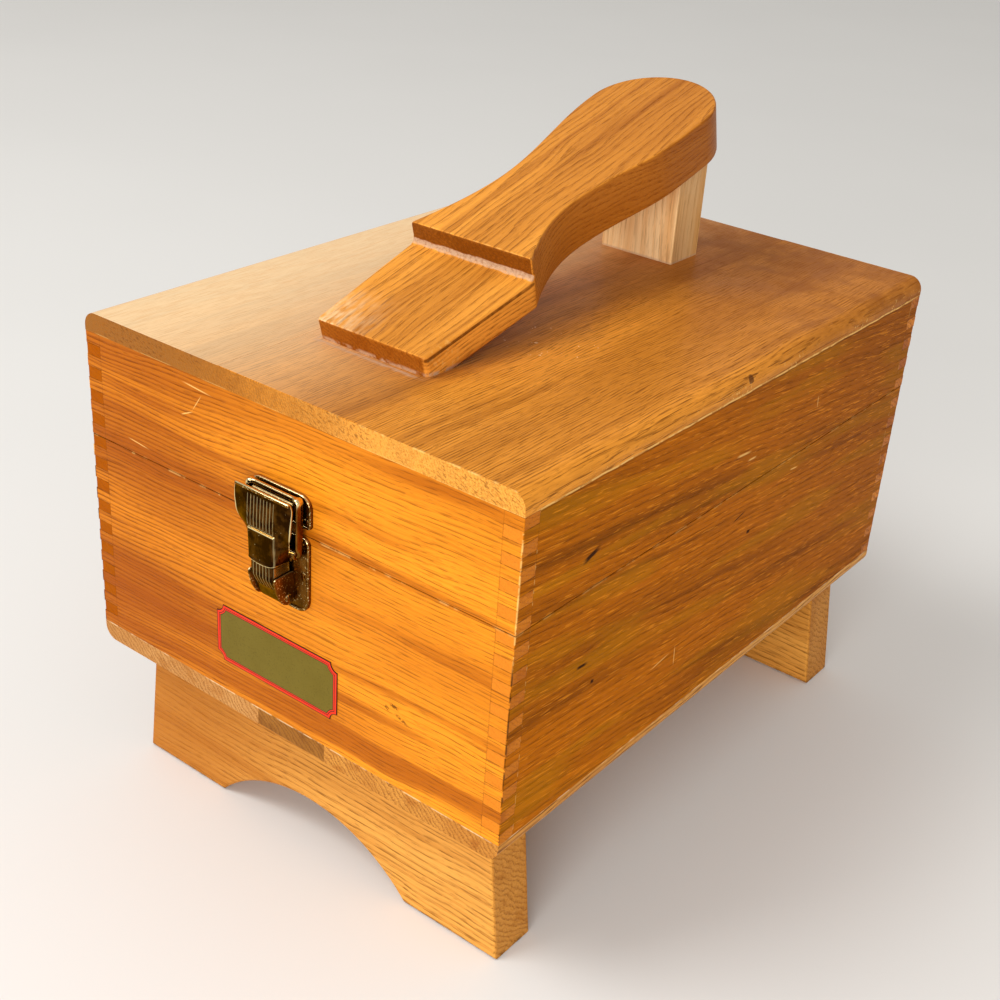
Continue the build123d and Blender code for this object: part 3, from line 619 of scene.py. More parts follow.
def finger_joints(oak):
    """Draws the corner joints' lines: dark along the fingers, half bare and half dark at their ends."""
    fingers, ends = joint_lines(oak)
    patchy = oak.spots(0.4, 0.6, 4.0, 7.0, 2.0)
    oak.paint(fingers * (patchy * 0.4 + 0.25), oak.wood.pore)
    in_finger = oak.spots(0.52, 0.6, 3.5, 31.0, 2.0)
    side_face = oak.ease(oak.facing()[0], 0.6, 0.9)
    oak.paint(ends * 0.2, oak.wood.pore)
    oak.paint(ends * in_finger * side_face * 0.4, oak.wood.chipped)


def top_crack(oak):
    """The broken varnish line where the lid's top board meets the right wall, with chips above it."""
    wander = oak.noise(oak.vector(oak.x * 0, oak.y / 16, oak.x * 0), 3.0)
    height = oak.z - CARCASS_TOP + (wander - 0.5) * 1.4
    right = oak.ease(oak.x, BOX_RIGHT - 5.0, BOX_RIGHT - 4.0)
    right = right * oak.ease(oak.y, BOX_FRONT + 2.0, BOX_FRONT + 14.0)
    gaps = oak.spots(0.4, 0.5, 6.0, 41.0, 3.0)
    oak.paint(oak.below(oak.size(height), 0.25, 0.6) * (gaps * 0.5 + 0.35) * right, oak.wood.chipped, 0.6)
    oak.paint(oak.below(oak.size(height + 0.9), 0.2, 0.6) * right * 0.4, oak.wood.pore)
    rear = oak.ease(oak.y, BOX_FRONT + 60.0, BOX_FRONT + 140.0) * 0.06
    flakes = oak.ease(oak.grit(2.4, 17.0, 4.0) + rear, 0.64, 0.7) * oak.spots(0.45, 0.55, 22.0, 61.0, 2.0)
    band = oak.ease(height, -1.0, 0.5) * oak.below(height, 3.0, 6.5)
    oak.paint(flakes * band * right * 0.6, oak.wood.chipped, 0.7)


class SHINEBOX_OT_walls(bpy.types.Operator):
    """Finishes the four finger-jointed walls of the body and of the lid"""

    bl_idname = "shinebox.walls"
    bl_label = "Walls"

    def execute(self, context):
        wear = context.scene.shine_box_wear
        finishes = {"front": self.front(), "back": self.back(), "side": self.side()}
        for key, bodies in WALLS.items():
            for body, nodes in bodies.items():
                for node in nodes:
                    eased_copy(node, node + "_board", finishes[key], body, wear.board_edge,
                               corner_weights)
        return {"FINISHED"}

    def front(self):
        wood = bpy.context.scene.shine_box_wood
        oak = Oak("oak_front_wall", wood.front_light, wood.front_dark, "x", 0.3, pitch=2.2, slant=0.5,
                  band=0.2, pores=0.5, streaks=0.75, lean=0.02, fine=0.7)
        # The front board's ends on the side faces take the side colour, which is partly painted shade.
        oak.paint(oak.end * 0.5, wood.side_light_shaded)
        oak.end_grain(wood.front_dark, 0.12)
        # Painted shade: the front is drawn darker towards its left and lower left, with deeper pores there,
        # where less light falls.
        lower_left = oak.below(oak.z - oak.x * 0.3, CARCASS_BASE + 20.0, SEAM)
        depth = oak.ease(oak.tone, 0.3, 0.6) * 0.3 + oak.porous * 0.25 + lower_left * 0.15 + 0.4
        left = oak.below(oak.x, -90.0, 50.0) * depth
        oak.paint(oak.least(left, 1.0), wood.front_left_shade)
        oak.paint(left * (oak.open_pores * 0.35 + oak.porous * 0.15), wood.pore)
        low = oak.below(oak.z, CARCASS_BASE + 10.0, CARCASS_BASE + 60.0) * oak.below(oak.x, 0.0, 90.0)
        oak.paint(low * (oak.ease(oak.tone, 0.35, 0.6) * 0.3 + 0.15), wood.front_dark)
        finger_joints(oak)
        corner_wear(oak)
        seam_wear(oak, 0.8)
        scratches = (
            ((-60.6, 232.0), (-41.8, 230.6), 0.4), ((-48.7, 228.8), (-54.9, 219.8), 0.25),
            ((-62.1, 215.9), (-54.2, 219.5), 0.4), ((-99.3, 191.9), (-84.3, 190.6), 0.35),
            ((103.0, 24.0), (98.2, 9.6), 0.4), ((-38.0, 121.0), (-38.4, 112.0), 0.3),
        )
        oak.marks(oak.x, scratches, 0.7, wood.chipped, 0.7)
        stains = (
            ((63.0, 124.0), (69.0, 122.6), 1.3), ((66.0, 120.5), (74.5, 117.0), 1.1),
            ((60.5, 122.0), (63.5, 120.0), 1.2),
        )
        oak.marks(oak.x, stains, oak.spots(0.38, 0.52, 1.2, 8.0, 2.0) * 0.75, wood.grime)
        return oak.finish()

    def back(self):
        wood = bpy.context.scene.shine_box_wood
        oak = Oak("oak_back_wall", wood.front_light, wood.front_dark, "x", 2.7, pitch=3.2, slant=0.6,
                  band=0.35, streaks=0.6)
        oak.end_grain(wood.front_dark, 0.2)
        finger_joints(oak)
        corner_wear(oak)
        seam_wear(oak, 0.6)
        return oak.finish()

    def side(self):
        wood = bpy.context.scene.shine_box_wood
        # Partly painted shade: the side boards are drawn in the darker side colours.
        oak = Oak("oak_side_wall", wood.side_light_shaded, wood.side_dark_shaded, "y", 1.4, pitch=3.4, slant=0.4,
                  band=0.25, wander=7.0, pores=0.45, streaks=0.6, lean=-0.1, fine=0.6)
        olive = oak.noise(oak.vector(oak.x / 30 + 9, oak.y / 120, (oak.z + oak.y * 0.1) / 14), 2.0)
        oak.paint(oak.ease(olive, 0.5, 0.66) * 0.4, wood.side_gold)
        # Painted shade on the left: the side boards' ends in the front's joints take the front's shaded
        # colour on its left half.
        oak.paint(oak.end * 0.85, oak.blend(oak.ease(oak.x, -20.0, 20.0), wood.front_left_shade, wood.front_mid))
        oak.end_grain(wood.front_dark, 0.12)
        rear = oak.ease(oak.y, BOX_FRONT + 60.0, BOX_BACK) * 0.25
        oak.paint(rear * (1.0 - oak.end), wood.side_dark_shaded)
        rise = oak.z + oak.y * 0.1
        glints = oak.noise(oak.vector(oak.x / 0.7, (oak.y - oak.z * 0.1) / 12, rise / 0.7), 1.0)
        oak.paint(oak.ease(glints, 0.6, 0.7) * (1.0 - oak.end) * 0.45, wood.front_light, 0.3)
        finger_joints(oak)
        corner_wear(oak)
        seam_wear(oak, 0.5)
        top_crack(oak)
        pale = (
            ((-6.5, 204.9), (7.5, 203.6), 0.8), ((5.0, 199.3), (13.5, 198.9), 0.6),
            ((70.0, 212.0), (71.0, 205.0), 0.4), ((-40.0, 120.0), (-39.0, 108.0), 0.4),
            ((-60.0, 116.0), (-44.0, 118.0), 0.4), ((52.0, 178.0), (60.0, 177.0), 0.5),
        )
        right = oak.ease(oak.x, 0.0, 1.0)
        oak.marks(oak.y, pale, right * 0.75, wood.chipped, 0.6)
        nicks = (
            ((-126.0, 199.6), (-113.0, 203.4), 1.7), ((-123.0, 147.9), (-113.7, 147.0), 1.1),
            ((-110.6, 135.4), (-107.6, 134.8), 1.2), ((14.8, 157.9), (19.0, 157.4), 1.3),
            ((-1.0, 168.8), (12.0, 171.5), 0.5),
        )
        oak.marks(oak.y, nicks, right * 0.95, wood.grime)
        return oak.finish(0.01)


class SHINEBOX_OT_top_and_bottom(bpy.types.Operator):
    """Finishes the glued staves of the lid top and of the bottom"""

    bl_idname = "shinebox.top_and_bottom"
    bl_label = "Top and bottom"

    def execute(self, context):
        wood, wear = context.scene.shine_box_wood, context.scene.shine_box_wear
        tops = {"left": (wood.top_light, 0.2), "middle": (wood.top_mid, 1.1), "right": (wood.top_light, 2.3)}
        for side, (light, seed) in tops.items():
            node = "top_stave_" + side
            finish = self.top("oak_lid_" + side, light, wood.top_dark, seed)
            eased_copy(node, node + "_board", finish, "lid", wear.board_edge,
                       stave_weights)
        bottoms = {
            "left": (wood.base_pale, wood.foot_dark, 3.1, "pale"),
            "middle": (wood.base_dark, wood.pore, 4.2, "dark"),
            "right": (wood.foot_light, wood.front_dark, 5.6, "mid"),
        }
        for side, (light, dark, seed, tone) in bottoms.items():
            node = "bottom_stave_" + side
            finish = self.bottom("oak_base_" + side, light, dark, seed)
            eased_copy(node, node + "_board", finish, "body", wear.board_edge,
                       stave_weights)
        return {"FINISHED"}

    def top(self, name, light, dark, seed):
        wood = bpy.context.scene.shine_box_wood
        oak = Oak(name, light, dark, "y", seed, pitch=3.0, slant=2.0, band=0.25, wander=8.0, pores=0.7,
                  fine=0.75)
        short = oak.noise(oak.vector(oak.x / 2.2, oak.y / 16, oak.z / 2.2 + seed), 4.0, 0.65)
        hatched = oak.ease(short, 0.4, 0.7)
        oak.paint(hatched * 0.25, dark)
        flat = oak.ease(oak.facing()[2], 0.9, 0.98) * oak.ease(oak.z, LID_FACE - 1.5, LID_FACE - 0.5)
        # Painted reflection: the left part of the lid top is drawn pale, in the bare-wood colour with pale
        # pores, as light reflected on the glossy varnish.
        pale = oak.below(oak.x, -120.0, 55.0) * flat * 0.8
        oak.paint(pale, wood.bare)
        oak.paint(pale * (oak.open_pores * 0.3 + hatched * 0.16), wood.top_light)
        # Painted shade and shadow: the top is drawn darker towards its rear right, in mottled patches where
        # the foot rest's shadow falls.
        mottled_shadow = oak.spots(0.3, 0.7, 16.0, 27.0, 4.0) * 0.45 + 0.45
        oak.paint(oak.ease(oak.y, -30.0, 140.0) * oak.ease(oak.x, -90.0, 20.0) * mottled_shadow, dark)
        oak.paint(oak.end * oak.below(oak.x, -80.0, 0.0), wood.end)
        oak.end_grain(oak.blend(oak.ease(oak.x, -40.0, 70.0), wood.end, wood.foot_light), 0.42)
        oak.paint(oak.end * oak.spots(0.52, 0.62, 1.3, 5.0, 2.0) * 0.35, wood.top_dark)
        sawn = oak.noise(oak.vector(oak.x / 2.5, oak.y * 0, (oak.z + oak.x * 0.3) / 0.9), 3.0)
        patches = oak.spots(0.35, 0.6, 30.0, 71.0, 2.0)
        oak.paint(oak.end * oak.ease(sawn, 0.5, 0.66) * patches * 0.5, wood.pore)
        top_crack(oak)
        ends = from_ends(oak)
        edge = oak.most(ends, LID_FACE - oak.z)
        sill = oak.below(edge, 0.3, 0.9) * oak.spots(0.5, 0.6, 8.0, 6.0, 4.0)
        oak.paint(sill * oak.ease(oak.x, -20.0, 90.0) * 0.55, wood.chipped, 0.6)
        joint = oak.size(oak.z - CARCASS_TOP) + oak.ease(ends, 0.5, 1.0)
        oak.paint(oak.below(joint, 0.15, 0.6) * oak.spots(0.45, 0.55, 20.0, 8.0, 3.0) * 0.3, wood.chipped)
        chip = oak.near(oak.x, BOX_RIGHT - 0.5, 2.2) * oak.near(oak.y, -3.0, 3.2)
        chip = chip * oak.ease(oak.z, 240.0, 241.0)
        oak.paint(oak.ease(chip, 0.15, 0.5) * 0.8, wood.pore)
        ahead = SOLE_LOW[1] - oak.y
        aside = oak.size(oak.x) - (oak.y - SOLE_LOW[1]) * 0.05 - HEEL_HALF
        clear = oak.most(ahead, aside)
        frayed = clear + oak.grit(4.0, 33.0, 3.0) * 3.0 - 1.5
        ring = oak.ease(clear, -1.5, -0.5) * oak.below(frayed, 0.2, 2.0) * flat
        ring = ring * oak.below(oak.y, SOLE_LOW[1] + 20.0, SOLE_LOW[1] + 50.0) * oak.below(oak.x, 20.0, 34.0)
        oak.paint(ring * oak.spots(0.3, 0.55, 3.0, 9.0, 4.0) * 0.75, wood.dust, 0.85)
        crumbs = oak.spots(0.7, 0.72, 2.6, 3.0, 2.0) * flat
        worn = oak.near(oak.x, 44.0, 30.0) * oak.near(oak.y, -44.0, 24.0)
        oak.paint(crumbs * oak.ease(worn, 0.05, 0.3), wood.bare, 0.7)
        oak.gloss = oak.gloss + oak.spots(0.35, 0.65, 60.0, 5.0, 3.0) * 0.1
        return oak.finish()

    def bottom(self, name, light, dark, seed):
        wood = bpy.context.scene.shine_box_wood
        oak = Oak(name, light, dark, "y", seed, pitch=3.4, wander=4.0, slant=1.0, band=0.4, pores=0.8)
        oak.end_grain(wood.end, 0.25)
        ends = oak.below(oak.size(oak.z - CARCASS_BASE), 0.2, 0.9) * outside(oak, 0.5)
        oak.paint(ends * oak.spots(0.45, 0.6, 9.0, 2.0, 3.0) * 0.5, wood.bare, 0.6)
        return oak.finish()


class SHINEBOX_OT_feet(bpy.types.Operator):
    """Finishes the two arched foot boards"""

    bl_idname = "shinebox.feet"
    bl_label = "Foot boards"

    def execute(self, context):
        wood = context.scene.shine_box_wood
        for node, seed in (("front_foot", 0.8), ("rear_foot", 3.9)):
            oak = Oak("oak_" + node, wood.foot_light, wood.foot_dark, "x", seed, pitch=3.4, slant=0.7,
                      band=0.35, wander=6.0, pores=0.6, streaks=0.4, fine=0.7)
            oak.end_grain(wood.foot_dark, 0.25)
            # Painted shade: the foot boards are drawn darker towards their left.
            oak.paint(oak.below(oak.x, -90.0, 20.0) * 0.7, wood.foot_dark)
            lowest = oak.below(oak.z, 0.0, 3.0) * oak.spots(0.45, 0.6, 5.0, 2.0)
            oak.paint(lowest * 0.5, wood.grime, 0.7)
            coat(node, oak.finish())
        return {"FINISHED"}


class SHINEBOX_OT_foot_rest(bpy.types.Operator):
    """Finishes the sole-shaped foot rest and the post under its toe"""

    bl_idname = "shinebox.foot_rest"
    bl_label = "Foot rest"

    def execute(self, context):
        wood, wear = context.scene.shine_box_wood, context.scene.shine_box_wear
        oak = Oak("oak_foot_rest", wood.rest_light, wood.rest_dark, "y", 1.9, pitch=2.4, slant=0.6,
                  band=0.25, wander=3.0, pores=0.5, streaks=0.45, lean=REST_SLOPE, fine=0.55)
        cos, sin = math.cos(REST_SLOPE), math.sin(REST_SLOPE)
        along = (oak.y - SOLE_LOW[1]) * cos + (oak.z - LID_FACE - HEEL_FRONT) * sin
        above = (oak.z - LID_FACE - HEEL_FRONT) * cos - (oak.y - SOLE_LOW[1]) * sin
        oak.paint(oak.ease(along, 60.0, 200.0) * 0.35, wood.rest_dark)
        heel = oak.below(along, HEEL_LENGTH - 2.0, HEEL_LENGTH + 2.0)
        # Painted shade: the sole's side faces beyond the heel are drawn darker.
        sides = oak.ease(oak.facing()[0], 0.5, 0.9)
        oak.paint(sides * (1.0 - heel) * 0.55, wood.rest_dark)
        end = oak.ease(oak.facing()[1], 0.75, 0.95)
        oak.paint(end * 0.8, wood.rest_dark)
        oak.paint(end * oak.near(along, HEEL_LENGTH, 6.0) * (oak.grit(1.4, 26.0) * 0.8 + 0.1), wood.pore)
        oak.paint(end * oak.spots(0.45, 0.6, 0.9, 3.0, 2.0) * 0.3, wood.pore)
        # Painted highlight: the heel's front left corner is drawn pale, in the bare-wood colour, as gloss
        # catching the light.
        worn = oak.below(oak.y, SOLE_LOW[1] + 4.0, SOLE_LOW[1] + 34.0) * oak.below(oak.x, -34.0, 6.0)
        sheen_noise = oak.noise(oak.vector(oak.x / 2.2, oak.y / 12, oak.z / 2.2), 3.0, 0.5)
        oak.paint(worn * (1.0 - end) * oak.ease(sheen_noise, 0.25, 0.75) * 0.7, wood.bare, 0.5)
        right = oak.ease(oak.x, SOLE_HIGH[0] - 6.0, SOLE_HIGH[0] - 2.0) * oak.spots(0.56, 0.62, 2.2, 14.0)
        heel_right = right * oak.below(oak.y, SOLE_LOW[1] + 16.0, SOLE_LOW[1] + 26.0)
        oak.paint(heel_right * 0.4, wood.chipped, 0.6)
        rim = oak.near(above, -2.4, 1.3) * oak.ease(oak.x, 22.0, 27.0) * heel * sides
        oak.paint(oak.ease(rim, 0.1, 0.6) * (oak.spots(0.3, 0.6, 6.0, 18.0) * 0.3 + 0.5), wood.pore)
        arris = oak.near(above, HEEL_DEPTH, 0.9) * oak.near(along, HEEL_LENGTH, 1.6)
        oak.paint(oak.ease(arris, 0.1, 0.4) * oak.spots(0.45, 0.6, 3.5, 19.0) * 0.7, wood.chipped)
        dust = oak.spots(0.38, 0.56, 5.0, 9.0, 4.0)
        cove = oak.near(along, HEEL_LENGTH - 0.8, 2.6) * oak.near(above, 0.8, 2.6)
        speckled = oak.spots(0.3, 0.6, 1.2, 21.0, 3.0) * 0.4 + 0.4
        uneven = cove + (oak.grit(7.0, 22.0, 3.0) - 0.5) * 1.1 + oak.x * 0.002
        oak.paint(oak.ease(uneven, 0.3, 0.6) * oak.ease(cove, 0.02, 0.2) * speckled, wood.dust, 0.85)
        foot = oak.below(oak.z, LID_FACE + 0.8, LID_FACE + 2.4)
        oak.paint(foot * dust * 0.8, wood.dust, 0.85)
        eased_copy("footrest_sole", "foot_rest_board", oak.finish(), "lid", wear.rest_edge,
                   rest_weights, False)
        # The post is drawn in its paler colours, painted light against the shade under the sole.
        oak = Oak("oak_post", wood.post_lit_pale, wood.post_lit_dark, "z", 2.6, pitch=3.4, slant=0.8, band=0.3,
                  wander=3.0, pores=0.35)
        oak.paint(oak.ease(oak.facing()[0], 0.6, 0.9) * 0.35, wood.side_gold)
        foot = oak.below(oak.z, LID_FACE + 0.3, LID_FACE + 1.6)
        oak.paint(foot * 0.6, wood.dust, 0.85)
        eased_copy("footrest_post", "foot_rest_post", oak.finish(), "lid", wear.post_edge,
                   post_weights)
        return {"FINISHED"}


def rest_weights(middles):
    """Full rounding everywhere but where the foot rest meets the lid and in its pilot holes."""
    weights = np.ones(len(middles))
    weights[middles[:, 2] < LID_FACE + 0.05] = 0.0
    by_holes = (np.abs(middles[:, 0]) < 20.0) & (middles[:, 1] < -95.0)
    weights[by_holes & (middles[:, 2] < LID_FACE + 8.0)] = 0.0
    return weights


def post_weights(middles):
    """Full rounding up the post's corners, and none where it meets the lid and the sole."""
    weights = np.zeros(len(middles))
    middle_height = (LID_FACE + corners("footrest_post")[1][2]) / 2
    weights[np.abs(middles[:, 2] - middle_height) < 8.0] = 1.0
    return weights


# ---- Brass operators -----------------------------------------------------------------------------
def brass(name, shine, seed, rough=0.16, polish=0.6, fleck_from=0.68):
    """Lacquered brass: dark blotches, fine scratches and flecks, with painted highlights: bright metal on
    the crests and edges that a mesh's worn attribute marks, and a painted sheen where the surface faces up."""
    made = Finish(name)
    look = bpy.context.scene.shine_box_brass
    x, y, z = made.place()
    blotch = made.noise(made.vector(x / 7 + seed, y / 7, z / 7), 4.0, 0.6)
    scratch = made.noise(made.vector(x / 0.25, y / 0.6, z / 6 + seed), 2.0)
    fleck = made.noise(made.vector(x / 0.9, y / 0.9, z / 0.9 + seed), 2.0)
    normal = made.add("ShaderNodeTexCoord", output=1)
    upward = made.ease(made.add("ShaderNodeSeparateXYZ", None, {0: normal}, 2), 0.35, 0.8)
    worn = made.add("ShaderNodeAttribute", {"attribute_name": "worn"}, output=2)
    dark = made.ease(blotch, 0.3, 0.7) * 0.5 + made.ease(scratch, 0.5, 0.8) * 0.3
    amount = made.least(made.most(dark + (0.5 - shine), dark * 0.0), 1.0)
    base = made.blend(amount, look.brass, look.tarnish)
    # Painted light: brass facing up gets a painted sheen, scaled by polish, and the worn attribute marks
    # painted highlights.
    base = made.blend(made.most(upward * polish, worn), base, look.bright)
    base = made.blend(made.ease(fleck, fleck_from, fleck_from + 0.04) * 0.6, base, look.bright)
    return made.close(base, rough + amount * 0.12, scratch * 0.12 + blotch * 0.25, 0.05,
                      **{"Metallic": 1.0, "Specular Tint": (1.0, 0.72, 0.4, 1.0)})


def bent_line(at, places, values, reach=1.5):
    """A broken line through the values, averaged over reach each side so that its corners are round."""
    offsets = np.linspace(-reach, reach, 9)[:, None]
    return np.interp(at[None, :] + offsets, places, values).mean(0)


def window(value, low, high, soft):
    """1 between low and high, easing to 0 over soft outside them."""
    both = np.clip((value - low + soft) / soft, 0, 1) * np.clip((high + soft - value) / soft, 0, 1)
    return both * both * (3 - 2 * both)


def mirrored(left):
    """A profile of (x, radius) points from its left half."""
    left = np.array(left)
    return np.vstack([left, left[::-1] * (-1, 1)])


def before_wall(x, out, z):
    """Points at x and height z that stand out in front of the front wall."""
    return np.stack(np.broadcast_arrays(x, BOX_FRONT - out, z), axis=-1)


def turned(name, profile, y, z, ring=False):
    """A profile of (x, radius) points turned about a line along X through y and z."""
    profile = np.array(profile)
    angle = np.linspace(0, 2 * np.pi, 40, endpoint=False)[:, None]
    points = [profile[None, :, 0] + 0 * angle, y + profile[None, :, 1] * np.cos(angle),
              z + profile[None, :, 1] * np.sin(angle)]
    return grid_mesh(name, np.stack(points, axis=-1), along=ring, caps=not ring)


def mark_highlights(mesh, worn):
    """Keeps how strongly each point of a grid gets the painted highlight, for the brass finish to read."""
    layer = mesh.attributes.new("worn", "FLOAT", "POINT")
    layer.data.foreach_set("value", np.ascontiguousarray(worn, dtype=np.float32).ravel())


class SHINEBOX_OT_latch(bpy.types.Operator):
    """Makes the stamped brass latch: fluted lever, plates with beaded rims, bail, nails and pin"""

    bl_idname = "shinebox.latch"
    bl_label = "Latch"

    def execute(self, context):
        self.look = context.scene.shine_box_brass
        self.plate_brass = brass("brass_plate", 0.25, 2.0, 0.2, 0.25, 0.66)
        # The bead and the bail strap get brighter mixes than the plates and lever, partly a painted
        # highlight on the rims and the bail.
        self.bead_brass = brass("brass_bead", 0.45, 4.0, 0.14, 0.85, 0.58)
        self.lever_brass = brass("brass_lever_sheet", -0.12, 5.0, 0.12, 0.9, 0.73)
        self.wire_brass = brass("brass_bail_strap", 0.45, 9.0, 0.12, 0.6)
        self.lever()
        self.bail()
        self.strike_plate()
        self.base_plate()
        self.nails("latch_base_nails", "body")
        self.nails("latch_strike_nails", "lid")
        return {"FINISHED"}

    def section(self, front, front_out, rear, rear_out):
        """Right half of a channel at each height: a flat front of half width front, a round corner, and
        a wing that runs straight to its rear edge. The corner is a quadratic curve from the front to
        the wing, with the sharp corner as its middle point."""
        across, back = rear - front, rear_out - front_out
        length = np.hypot(across, back)
        across, back = across / length, back / length
        corner = np.minimum(2.0, 0.45 * length)
        flat = np.linspace(0, 1, 56)[:, None]
        turn = np.linspace(0, 1, 12)[1:, None]
        wing = np.linspace(0, 1, 16)[1:, None]
        far_x, far_out = front + corner * across, front_out + corner * back
        bend_x = (1 - turn) ** 2 * (front - corner) + 2 * turn * (1 - turn) * front + turn ** 2 * far_x
        bend_out = (1 - turn ** 2) * front_out + turn ** 2 * far_out
        x = np.concatenate([flat * (front - corner), bend_x, far_x + (rear - far_x) * wing])
        out = np.concatenate([front_out + 0 * flat, bend_out, far_out + (rear_out - far_out) * wing])
        return x, out, (across, back)

    def lever(self):
        """The lever's sheet. Each level is a channel: below the boss its wings run straight back, and
        above it they turn out until they lie in line with the front at the tip. The boss and the
        flutes stand on the front, and the inner face follows one sheet behind."""
        sheet, bead = self.look.sheet, self.look.bead
        tip = LEVER_TOP - bead - PIVOT[2]
        up = np.concatenate([np.linspace(LEVER_FOOT, 8.0, 60), np.linspace(8.0, tip, 190)[1:]])
        step = LEVER_STEP
        lower = 1.0 - window(up, step, 2 * tip, 0.35)
        front = bent_line(up, [LEVER_FOOT, 30.0, 40.0, 46.0, tip], [7.9, 7.9, 8.6, 12.5, 14.6]) - 1.1 * lower
        places = [LEVER_FOOT, -2.9, -1.7, 0.0, 1.8, 3.5, 4.5, 8.2, 10.6, step, step + 0.4, 38.0, tip]
        values = [4.9, 6.2, 7.3, 8.1, 8.75, 9.35, 9.8, 11.8, 12.8, 12.8, 12.5, 12.4, 11.6]
        front_out = bent_line(up, places, values, 0.3)
        rear = bent_line(up, [step, 20.0, 24.0, 28.0, 33.0, 37.0, 43.0, tip - 2.5, tip - 1.0, tip],
                         [8.8, 9.3, 10.4, 12.2, 14.8, 16.1, 16.8, 16.9, 16.5, 15.7], 0.8)
        rear = rear * (1.0 - lower) + LEVER_FOOT_HALF * lower
        rear_out = bent_line(up, [step, 20.0, 24.0, 28.0, 33.0, 37.0, 43.0, tip],
                             [3.1, 4.0, 6.0, 7.8, 10.4, 11.4, 11.5, 11.0])
        heel = np.interp(up, [LEVER_FOOT, -2.9, -1.7, 0.0, step], [3.9, 3.0, 2.5, 2.4, 2.9])
        rear_out = rear_out * (1.0 - lower) + heel * lower
        outer_x, outer_out, (across, back) = self.section(front, front_out, rear, rear_out)
        joint = sheet / (1 + across)
        inner_x, inner_out, _ = self.section(front + joint * back, front_out - joint * (1 + across),
                                             rear + sheet * back, rear_out - sheet * across)
        outer_x = np.concatenate([-outer_x[:0:-1], outer_x])
        outer_out = np.concatenate([outer_out[:0:-1], outer_out])
        inner_x = np.concatenate([inner_x[::-1], -inner_x[1:]])
        inner_out = np.concatenate([inner_out[::-1], inner_out[1:]])
        relief, worn = self.stamped(outer_x, up[None, :])
        # Painted highlight along the wings' rear edges.
        worn[[0, 1, -2, -1]] = np.maximum(worn[[0, 1, -2, -1]], 0.85)
        out = np.concatenate([outer_out + relief, inner_out])
        x = np.concatenate([outer_x, inner_x])
        mesh = grid_mesh("latch_lever_stamping", before_wall(x, out, PIVOT[2] + up))
        mark_highlights(mesh, np.concatenate([worn, 0 * inner_x]))
        piece = add_piece("latch_lever_stamping", mesh, self.lever_brass, "latch_lever")
        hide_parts("latch_lever")
        turn = np.linspace(np.pi / 2, 0, 7)
        profile = mirrored(np.stack([-15.0 - np.sin(turn), bead * np.cos(turn) + 0.01], 1))
        rim = turned("lever_bead", profile, BOX_FRONT - 11.6, PIVOT[2] + tip)
        add_piece("latch_lever_bead", rim, self.bead_brass, "latch_lever")
        profile = mirrored([(-6.6, 1.25), (-6.6, 2.2), (-6.3, 2.5)])
        barrel = turned("lever_barrel", profile, PIVOT[1], PIVOT[2], True)
        eye = np.array([(8.4, 1.15), (8.4, 1.9), (8.7, 2.2), (13.0, 2.2), (13.3, 1.9), (13.3, 1.15)])
        eyes = [turned("lever_eye", eye * (side, 1), BAIL_PIVOT[1], BAIL_PIVOT[2], True) for side in (-1, 1)]
        mesh = joined("latch_lever_barrel", [barrel, *eyes])
        add_piece("latch_lever_barrel", mesh, self.bead_brass, "latch_lever")

    def stamped(self, x, rise):
        """How far the boss and the flutes stand out, and how strongly they get the painted highlight. A
        flute is a cosine groove across the width, the boss is a window in width and height, and its foot
        curves down."""
        groove = 0.5 - 0.5 * np.cos(2 * np.pi * (x + 8.4) / self.look.flute_pitch)
        band = window(x, -8.4, 6.9, 0.2) * (window(rise, 33.4, 47.5, 0.5) + window(rise, 5.5, 16.6, 0.5))
        foot = LEVER_STEP - 1.2 * np.clip(1 - (x / 8.0) ** 2, 0, 1)
        boss = window(x, -7.7, 7.7, 0.3) * window(rise, foot, BOSS_TOP, 0.3)
        inside = (np.abs(x) < 8.0) * 1.0
        top_line = window(rise, BOSS_TOP - 0.25, BOSS_TOP + 0.25, 0.2) * window(x, -7.6, 7.6, 0.2)
        foot_line = window(rise, foot - 0.15, foot + 0.2, 0.2) * window(np.abs(x), 0.0, 8.6, 0.3)
        crests = np.clip(1 - groove / 0.16, 0, 1) * band * 0.35
        sides = window(np.abs(x), 7.55, 7.75, 0.15) * window(rise, 8.0, BOSS_TOP, 0.5) * 0.25
        # Painted highlights on the boss's top and foot lines, the flute crests and the boss's sides.
        worn = np.maximum(np.maximum(top_line, foot_line * 0.7), np.maximum(crests, sides))
        return (boss * self.look.boss_height - groove * band * self.look.flute_depth) * inside, worn

